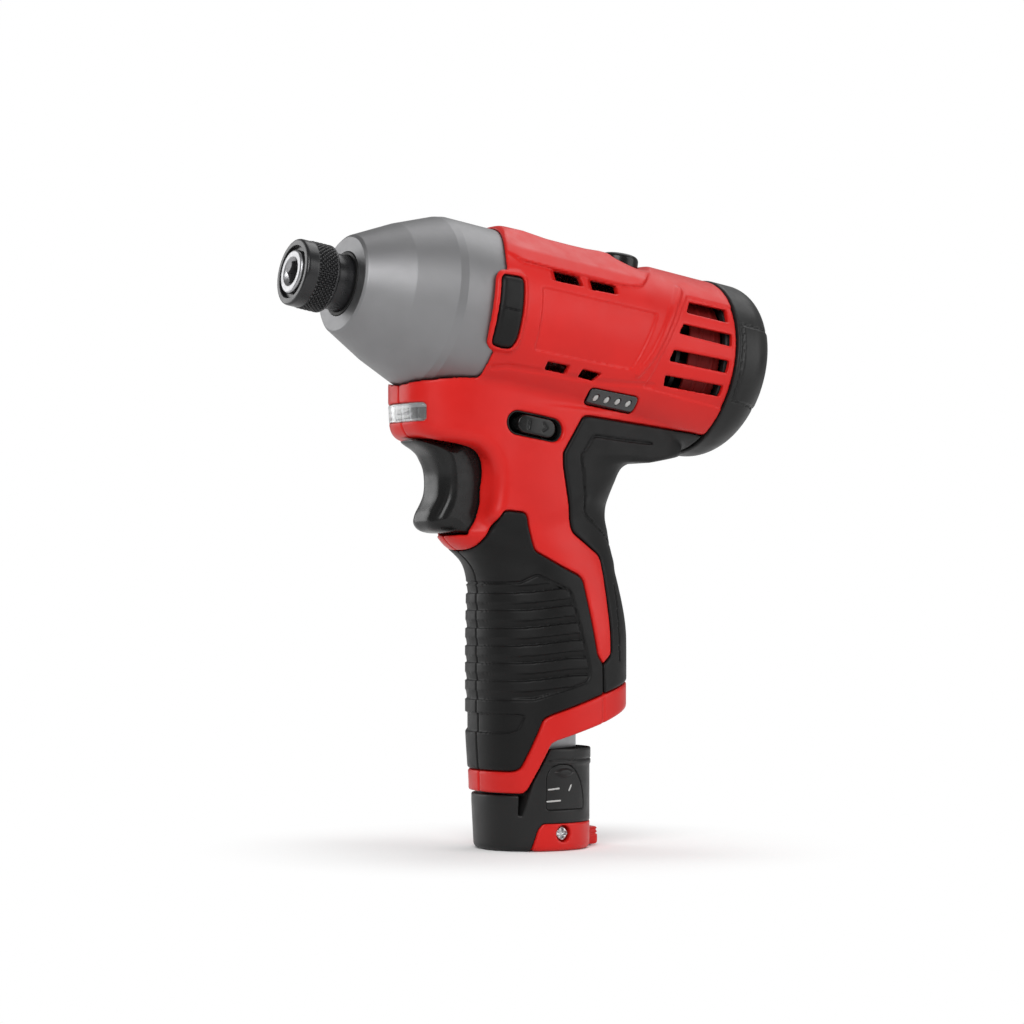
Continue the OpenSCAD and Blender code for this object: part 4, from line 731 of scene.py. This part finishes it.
# Sections of the turned pieces, as (station, radius)
GEAR_CASE = [(S_NOSE + 1.5, 8.23), (S_NOSE + 1.5, 9.53), (S_NOSE, 9.53), *CASE_OUTSIDE,
             (S_CASE_END, 24.57), (67.5, 24.57), (67.5, 21.87), (S_NOSE + 25.0, 21.87),
             (S_NOSE + 11.6, 15.8), (S_NOSE + 11.6, 8.23)]
NOSE_SEAL = [(S_NOSE - 0.3, 8.23), (S_NOSE - 0.3, 9.5), (S_NOSE + 1.45, 9.5), (S_NOSE + 1.45, 8.23)]
NOSE_BUSH = [(11.5, 6.45), (11.5, 8.2), (28.2, 8.2), (28.2, 6.45)]
piece("gear_case", lathe(held(rounded(GEAR_CASE, 0.15)), 220), "housing", "cast_aluminium", "gear_case")
piece("nose_seal", lathe(held(rounded(NOSE_SEAL, 0.4))), "housing", "grip_rubber", "nose_seal")
piece("nose_bush", lathe(held(rounded(NOSE_BUSH, 0.4))), "housing", "black_steel", "nose_bush")

KNURL_COUNT, KNURL_SLANT = 23.0, 0.74
ANVIL_HEAD, ANVIL_HEAD_END = 28.8, 33.8


def sleeve(x, y, z):
    s, h = back(x, z), rise(x, z)
    r = length(y, h)
    a = np.arctan2(y, h) * KNURL_COUNT / math.pi
    left = np.abs((a + s * KNURL_SLANT) % 1.0 - 0.5) * 2.0
    right = np.abs((a - s * KNURL_SLANT) % 1.0 - 0.5) * 2.0
    knurl = 0.75 * (1.0 - np.minimum(np.minimum(left, right) * 1.9, 1.0)) * window(s, 4.4, 10.2, 0.4)
    step = 0.2 * ease((4.4 - s) / 0.4 + 0.5)
    d = meet(r - 9.9 + knurl + step, S_SLEEVE - s, 1.0)
    d = meet(d, s - S_SLEEVE_END, 1.0)
    chamber = np.maximum(np.maximum(r - 8.2, 1.9 - s), s - 8.9)
    mouth = np.maximum(r - 7.7, s - 2.4)
    return most([d, 6.47 - r, -chamber, -mouth])


piece("collet_sleeve", skin(sleeve, (67.5, -10.4, 155.0), (83.0, 10.4, 179.5), 0.16), "sleeve", "black_steel",
      "collet_sleeve")


def anvil(x, y, z):
    s, h = back(x, z), rise(x, z)
    r = length(y, h)
    d = meet(meet(r - 6.4, -s, 0.9), s - 30.0, 0.3)
    slab = np.maximum(ANVIL_HEAD - s, s - ANVIL_HEAD_END)
    head = np.maximum(r - 8.4, slab)
    arms = most([np.abs(y) - 3.5, np.abs(h) - 14.2, slab])
    d = least([d, head, arms])
    hexagon = most([np.abs(h), np.abs(h * 0.5 + y * 0.866), np.abs(h * 0.5 - y * 0.866)]) - 3.2
    d = cut(d, np.minimum(np.maximum(hexagon, s - 20.0), np.maximum(r - 4.3 + 0.9 * s, s - 2.0)), 0.15)
    d = np.maximum(d, -np.maximum(r - 3.25, 30.0 - s))
    ring = np.maximum(np.maximum(5.9 - r, 1.57 - s), s - 2.53)
    d = np.maximum(d, -ring)
    balls = length(h, s - 10.0) - 1.65
    return np.maximum(d, -np.maximum(balls, 2.0 - np.abs(y)))


piece("anvil", skin(anvil, (44.5, -9.2, 148.0), (82.5, 9.2, 179.5), 0.24), "output", "dull_steel", "anvil",
      slot="steel")


# Light in the chin

LAMP_Y = (-8.9, -5.9, -2.1, 2.1, 5.9, 8.9)
LAMP_LOW, LAMP_HIGH = (33.0, -12.5, 124.8), (46.5, 12.5, 132.6)


def lens(x, y, z):
    d = chin(x, y, z) + 0.1
    return most([meet(d, lens_window(y, z, 0.0), 0.4), -(d + 1.3), 36.6 - x])


def lamp_tray(x, y, z):
    d = chin(x, y, z)
    return most([d + 1.9, -(d + 2.6), lens_window(y, z, 0.6), 34.0 - x])


def lamps(x, y, z):
    d = chin(x, y, z)
    row = least([np.maximum(np.abs(y - c) - 1.25, np.abs(z - 128.6) - 1.6) for c in LAMP_Y])
    return most([row, d + 1.5, -(d + 2.2), 34.0 - x])


piece("work_light_lens", skin(lens, LAMP_LOW, LAMP_HIGH, 0.22), "housing", "clear_lens", "work_light_lens")
piece("work_light_tray", skin(lamp_tray, LAMP_LOW, LAMP_HIGH, 0.22), "housing", "lamp_tray",
      slot="clear_lens")
piece("work_light_lamps", skin(lamps, LAMP_LOW, LAMP_HIGH, 0.2), "housing", "lamp_chip", slot="circuit_board")


# Controls

TRIGGER = rounded([(42.8, 121.0), (42.5, 120.2), (41.3, 119.3), (38.9, 118.0), (37.1, 116.6), (36.1, 114.9),
                   (35.2, 112.6), (34.8, 110.5), (34.7, 107.5), (35.0, 105.2), (35.7, 103.4), (36.7, 101.6),
                   (37.8, 99.8), (38.3, 98.2), (38.2, 96.6), (37.5, 95.2), (36.2, 94.2), (34.0, 93.7),
                   (9.1, 93.6), (9.1, 121.0)], 1.2)
SLIDER_MARKS = [[(-3.8, 0.0), (-2.4, 1.1)], [(-3.8, 0.0), (-2.4, -1.1)], [(2.6, 1.1), (2.6, -1.1)]]


def trigger(x, y, z):
    y2 = np.abs(y)
    face = inside(x, z, TRIGGER) + 3.0 * (y2 / 8.4) ** 4 * ease((x - 26.0) / 6.0)
    d = meet(face, y2 - TRIGGER_W / 2, 1.6)
    crease = 0.3 * ease(1.5 - np.abs(y2 - 6.3) / 1.1) * window(z, 98.0, 114.0, 3.0) * ease((x - 27.0) / 3.0)
    spring = np.maximum(length(y, z - 112.0) - 3.85, x - 17.1)
    plunger = np.maximum(length(y, z - 103.0) - 2.03, x - 13.1)
    return np.maximum(d + crease, -np.minimum(spring, plunger))


piece("trigger", skin(trigger, (8.0, -9.0, 92.8), (43.8, 9.0, 122.0), 0.27), "trigger", "satin_black",
      "trigger", slot="black_plastic")


def slider(x, y, z):
    u, v = on_slider(x, z)
    y2 = np.abs(y)
    face = y2 - 18.6 + 0.01 * u * u
    marks = least([along(u, v, line) for line in SLIDER_MARKS])
    knob = grooved(meet(slider_plan(x, z, SLIDER_KNOB), face, 0.35), face, marks - 0.25, 0.3)
    flaps = meet(slider_plan(x, z, SLIDER_FLAP), np.abs(y2 - 11.6) - 0.4, 0.2)
    return np.minimum(knob, flaps)


def slider_bezel(x, y, z):
    wall = np.maximum(slider_plan(x, z, BEZEL_OUT), -slider_plan(x, z, BEZEL_IN))
    return most([wall, chin(x, y, z) + 0.15, 14.9 - np.abs(y)])


piece("direction_slider", skin(slider, (-4.0, -19.4, 119.0), (23.0, 19.4, 131.5), 0.25), "slider",
      "satin_black", "direction_slider", slot="black_plastic")
several("slider_bezel", slider_bezel,
        [((-1.5, y - 1.6, 120.0), (20.5, y + 1.6, 130.5)) for y in (-16.2, 16.2)],
        0.2, "housing", "black_plastic")


def button(x, y, z):
    s, h = back(x, z), rise(x, z)
    r = length(s - BUTTON_S, y)
    cap = meet(r - BUTTON_R, h - 29.15 + 0.022 * r * r, 1.4)
    cap = np.maximum(cap, 23.0 - h)
    flange = np.maximum(np.maximum(r - 7.1, h - 23.3), 22.45 - h)
    return np.minimum(cap, flange)


piece("mode_button", skin(button, (-41.0, -7.8, 168.0), (-22.5, 7.8, 182.6), 0.22), "button", "satin_black",
      "mode_button", slot="gloss_black")


# Battery

COLUMN_R, COLUMN_H = 17.0, 30.2
SHELL_SIDE = [(-40, -10), (40, -10), (40, 16.6), (12.3, 16.6), (12.3, 10.7), (11.5, 10.7), (8.9, 20.4),
              (4.0, COLUMN_H), (-40, COLUMN_H)]
BASE_SIDE = rounded([(9.4, -10), (8.8, 0.8), (7.2, 6.6), (5.9, 8.2), (-40, 8.2), (-40, -10)], 0.5)
LATCH_SIDE = rounded([(-8.9, 12.3), (-8.6, 16.5), (-7.4, 20.6), (-5.0, 24.0), (-2.6, 25.5), (1.0, 25.7),
                      (3.6, 24.8), (5.0, 22.0), (5.2, 12.3)], 1.2)
LATCH_LINES = [[(4.4, 18.3), (1.0, 18.6)], [(4.8, 14.8), (0.6, 15.0)], [(-2.6, 17.9), (-3.4, 19.4)]]
SCREW_X, SCREW_Z = -0.7, 5.2
STEM_OUT, STEM_IN, STEM_LOW, STEM_TOP = 7.65, 6.85, 27.23, 76.0


def battery_plan(x, y):
    return oval(x, y, 18.2, -COLUMN_R, 17.1, 2.1)


def battery_shell(x, y, z):
    y2 = np.abs(y)
    plan = battery_plan(x, y)
    rim = plan - 0.3 * ease((z - 25.3) / 0.3 + 0.5) + 0.05 * np.maximum(14.0 - z, 0.0) * ease((x - 4.0) / 6.0)
    d = meet(rim, inside(x, z, SHELL_SIDE), 0.5)
    d = meet(d, 0.03 - z, 2.0)
    d = cut(d, inside(x, z, BASE_SIDE) - 0.12, 0.3)
    for px, py in STEM_POINTS:
        d = np.maximum(d, -np.maximum(length(x - px, y - py) - 6.84, 28.4 - z))
    d = np.maximum(d, -np.maximum(stem(x, y, 7.68), 27.2 - z))
    d = cut(d, np.maximum(inside(x, z, LATCH_SIDE) - 0.06, 11.7 - y2), 0.1)
    return grooved(d, plan, np.abs(z - 26.9) - 0.2, 0.1)


piece("battery_shell", skin(battery_shell, (-18.5, -18.5, -0.9), (19.2, 18.5, 30.0), 0.33), "battery",
      "black_plastic", "battery_shell")


def battery_base(x, y, z):
    y2 = np.abs(y)
    d = meet(meet(battery_plan(x, y), inside(x, z, BASE_SIDE), 0.4), 0.03 - z, 2.0)
    tab = meet(meet(np.abs(x + 17.5) - 3.0, y2 - 5.0, 1.5), np.abs(z - 3.1) - 2.7, 1.0)
    lines = np.minimum(np.abs(z - 4.7), np.abs(z - 3.7))
    tab = tab + 0.35 * ease(1.5 - lines / 0.3) * ease((-17.4 - x) / 0.4)
    d = join(d, tab, 0.6)
    bore = length(x - SCREW_X, z - SCREW_Z)
    d = cut(d, np.maximum(bore - 2.5, 14.5 - y2), 0.4)
    return np.maximum(d, -np.maximum(bore - 1.65, 6.9 - y2))


piece("battery_base", skin(battery_base, (-21.2, -17.8, -0.9), (10.4, 17.8, 9.0), 0.28), "battery",
      "red_plastic", "battery_base")


def latch(side):
    def field(x, y, z):
        plan = battery_plan(x, y)
        crescent = np.maximum(length(x + 0.9, z - 19.2) - 5.6, length(x + 0.9, z - 27.2) - 5.6)
        ridge = 0.75 * ease(0.5 - (crescent + 0.5) / 1.0)
        d = meet(plan + 0.08 - ridge, inside(x, z, LATCH_SIDE), 0.2)
        return np.maximum(d, 13.7 - side * y)
    return skin(field, *half_box(side, (-9.8, 12.8, 11.6), (6.2, 17.8, 26.6)), 0.22)


def latch_marks(side):
    def field(x, y, z):
        mark = least([along(x, z, line) for line in LATCH_LINES]) - 0.28
        plan = battery_plan(x, y)
        return most([meet(mark, plan - 0.05, 0.2), -(plan + 0.5), 12.0 - side * y])
    return skin(field, *half_box(side, (-4.4, 14.0, 14.0), (5.8, 17.8, 20.2)), 0.16)


for side, word in SIDES:
    piece(word + "_latch", latch(side), word + "_latch", "black_plastic", word + "_latch")
    piece(word + "_latch_marks", latch_marks(side), word + "_latch", "gauge_dot", slot="black_plastic")


def tube(outer, inner, z0, z1):
    """Thin wall between two outlines of equal count, with extra rows that keep its faces flat."""
    n, near = len(outer), 0.05
    levels = [z0, z0 + near, z1 - near, z1]
    rows = [(outer, z) for z in levels] + [(inner, z) for z in reversed(levels)]
    verts = np.array([(px, py, z) for outline, z in rows for px, py in outline])
    i, j = np.meshgrid(np.arange(len(rows)), np.arange(n), indexing="ij")
    k, m = (i + 1) % len(rows), (j + 1) % n
    return verts, np.stack([i * n + j, i * n + m, k * n + m, k * n + j], 2).reshape(-1, 4)


def stem_outline(r, steps=14):
    points = []
    for (cx, cy), start in zip(STEM_POINTS, (120, 240, 0)):
        for a in np.radians(start + 120.0 * np.arange(steps + 1) / steps):
            points.append((cx + r * math.cos(a), cy + r * math.sin(a)))
    return points


piece("battery_stem", tube(stem_outline(STEM_OUT), stem_outline(STEM_IN), STEM_LOW, STEM_TOP), "battery",
      "dull_steel", "battery_stem", slot="steel")


# Screws with a cross in the head

def cross(u, v):
    u, v = np.abs(u), np.abs(v)
    return np.minimum(np.maximum(u - 0.42, v - 1.6), np.maximum(v - 0.42, u - 1.6))


def screw(u, v, w, shank, top, head_r, head_h, low):
    """Screw along w: head under top, shank down to low."""
    r = length(u, v)
    head = meet(meet(r - head_r, w - top, 0.7), top - head_h - w, 0.2)
    d = np.minimum(head, np.maximum(np.maximum(r - shank, w - top + head_h - 0.2), low - w))
    return cut(d, np.maximum(cross(u, v), top - 1.1 - w), 0.15)


def housing_screws(x, y, z):
    return least([screw(x - sx, z - sz, -y, shank=1.6, top=11.05, head_r=2.8, head_h=2.0, low=-10.0)
                  for sx, sz in SCREWS])


def cap_screws(x, y, z):
    s, h = back(x, z), rise(x, z)
    return screw(np.abs(y) - CAP_SCREW_Y, h, s, shank=1.6, top=S_END - 1.5, head_r=2.7, head_h=1.9,
                 low=S_REAR - 4.0)


def base_screws(x, y, z):
    return screw(x - SCREW_X, z - SCREW_Z, np.abs(y), shank=1.6, top=16.0, head_r=2.0, head_h=1.7, low=7.0)


several("housing_screws", housing_screws,
        [((sx - 3.4, -11.6, sz - 3.4), (sx + 3.4, 10.6, sz + 3.4)) for sx, sz in SCREWS],
        0.24, "housing", "steel", "housing_screws")
CAP_LOW, CAP_HIGH = on_axis(S_END - 0.8, 0, -3.2), on_axis(S_REAR - 4.6, 0, 3.4)
several("rear_cap_screws", cap_screws,
        [((CAP_LOW[0] - 2.0, y - 3.3, CAP_LOW[2] - 1.0), (CAP_HIGH[0] + 2.0, y + 3.3, CAP_HIGH[2] + 1.0))
         for y in (-CAP_SCREW_Y, CAP_SCREW_Y)],
        0.26, "housing", "steel", "rear_cap_screws")
several("battery_screws", base_screws,
        [((SCREW_X - 2.6, y - 5.2, SCREW_Z - 2.6), (SCREW_X + 2.6, y + 5.2, SCREW_Z + 2.6))
         for y in (-11.6, 11.6)],
        0.2, "battery", "steel", "battery_screws")


# Springs are copies of their CAD meshes in steel, riding on the bodies that hold them

def spring(node, joint):
    mesh = frame["nodes"][node].data.copy()
    mesh.materials.clear()
    mesh.materials.append(LOOKS["steel"])
    obj = bpy.data.objects.new(node + "_wire", mesh)
    bpy.context.scene.collection.objects.link(obj)
    bodies = frame["record"]["behaviour"]["bodies"]
    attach(obj, next(name for name, nodes in bodies.items() if node in nodes))
    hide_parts(node)
    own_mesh(obj)


spring("hammer_spring", "hammer_slide")
spring("collet_spring", "sleeve_slide")
spring("trigger_spring", "trigger_slide")


# Inner parts keep their CAD shape

for entry in frame["record"]["subparts"]:
    obj = frame["nodes"][entry["node"]]
    obj.data.materials.clear()
    finish = "black_steel" if entry["node"] == "retaining_ring" else entry["material_slot"]
    obj.data.materials.append(LOOKS[finish])


# Floor, light and camera

FLOOR = 6.0
FADE_FROM, FADE_TO = 0.04, 0.105


def stage_floor():
    corners = [(-FLOOR, -FLOOR, 0), (FLOOR, -FLOOR, 0), (FLOOR, FLOOR, 0), (-FLOOR, FLOOR, 0)]
    mesh = bpy.data.meshes.new("floor")
    mesh.from_pydata(corners, [], [(0, 1, 2, 3)])
    floor = bpy.data.objects.new("floor", mesh)
    bpy.context.scene.collection.objects.link(floor)
    m = bpy.data.materials.new("floor_white")
    m.use_nodes = True
    tree = m.node_tree
    tree.nodes.clear()
    out = tree.nodes.new("ShaderNodeOutputMaterial")
    matt = tree.nodes.new("ShaderNodeBsdfDiffuse")
    matt.inputs["Color"].default_value = (0.93, 0.93, 0.93, 1.0)
    white = tree.nodes.new("ShaderNodeEmission")
    where = tree.nodes.new("ShaderNodeTexCoord")
    far = tree.nodes.new("ShaderNodeVectorMath")
    far.operation = "LENGTH"
    fade = tree.nodes.new("ShaderNodeMapRange")
    fade.interpolation_type = "SMOOTHSTEP"
    fade.inputs["From Min"].default_value = FADE_FROM
    fade.inputs["From Max"].default_value = FADE_TO
    path = tree.nodes.new("ShaderNodeLightPath")
    both = tree.nodes.new("ShaderNodeMath")
    both.operation = "MULTIPLY"
    blend = tree.nodes.new("ShaderNodeMixShader")
    tree.links.new(where.outputs["Object"], far.inputs[0])
    tree.links.new(far.outputs["Value"], fade.inputs["Value"])
    tree.links.new(path.outputs["Is Camera Ray"], both.inputs[0])
    tree.links.new(fade.outputs["Result"], both.inputs[1])
    tree.links.new(both.outputs["Value"], blend.inputs["Fac"])
    tree.links.new(matt.outputs["BSDF"], blend.inputs[1])
    tree.links.new(white.outputs["Emission"], blend.inputs[2])
    tree.links.new(blend.outputs["Shader"], out.inputs["Surface"])
    mesh.materials.append(m)


def world_light(level):
    world = bpy.data.worlds.new("studio")
    world.use_nodes = True
    bpy.context.scene.world = world
    tree = world.node_tree
    sky = tree.nodes["Background"]
    sky.inputs["Color"].default_value = (1.0, 1.0, 1.0, 1.0)
    path = tree.nodes.new("ShaderNodeLightPath")
    seen = tree.nodes.new("ShaderNodeMath")
    seen.operation = "MAXIMUM"
    strength = tree.nodes.new("ShaderNodeMapRange")
    strength.inputs["To Min"].default_value = level
    strength.inputs["To Max"].default_value = 1.0
    tree.links.new(path.outputs["Is Camera Ray"], seen.inputs[0])
    tree.links.new(path.outputs["Is Transmission Ray"], seen.inputs[1])
    tree.links.new(seen.outputs["Value"], strength.inputs["Value"])
    tree.links.new(strength.outputs["Result"], sky.inputs["Strength"])


def softbox(name, place, aim, size, power):
    lamp = bpy.data.lights.new(name, "AREA")
    lamp.shape = "RECTANGLE"
    lamp.size, lamp.size_y = size
    lamp.energy = power
    obj = bpy.data.objects.new(name, lamp)
    bpy.context.scene.collection.objects.link(obj)
    obj.location = place
    obj.rotation_euler = (Vector(aim) - Vector(place)).to_track_quat("-Z", "Y").to_euler()


stage_floor()
world_light(0.3)
MIDDLE = (0.0, 0.0, 0.1)
softbox("key_light", (0.78, 0.9, 0.85), MIDDLE, (0.8, 0.8), 13.0)
softbox("top_light", (-0.5, -0.2, 1.1), MIDDLE, (0.9, 0.9), 5.0)
softbox("fill_light", (-0.9, 0.9, 0.5), MIDDLE, (0.9, 0.9), 6.0)
softbox("rim_light", (0.62, -1.05, 0.35), MIDDLE, (0.7, 0.9), 5.0)

AZIMUTH = math.radians(30.8)
LOOK_FROM = Vector((math.sin(AZIMUTH), math.cos(AZIMUTH), 0.0))
camera = bpy.data.cameras.new("camera")
camera.sensor_width = 36.0
camera.lens = 105.5
camera.shift_y = 0.0664
camera_object = bpy.data.objects.new("camera", camera)
bpy.context.scene.collection.objects.link(camera_object)
camera_object.location = LOOK_FROM * 0.8955 + Vector((0.007, 0.0, 0.08))
camera_object.rotation_euler = (-LOOK_FROM).to_track_quat("-Z", "Y").to_euler()
bpy.context.scene.camera = camera_object
bpy.context.scene.view_settings.view_transform = "Standard"
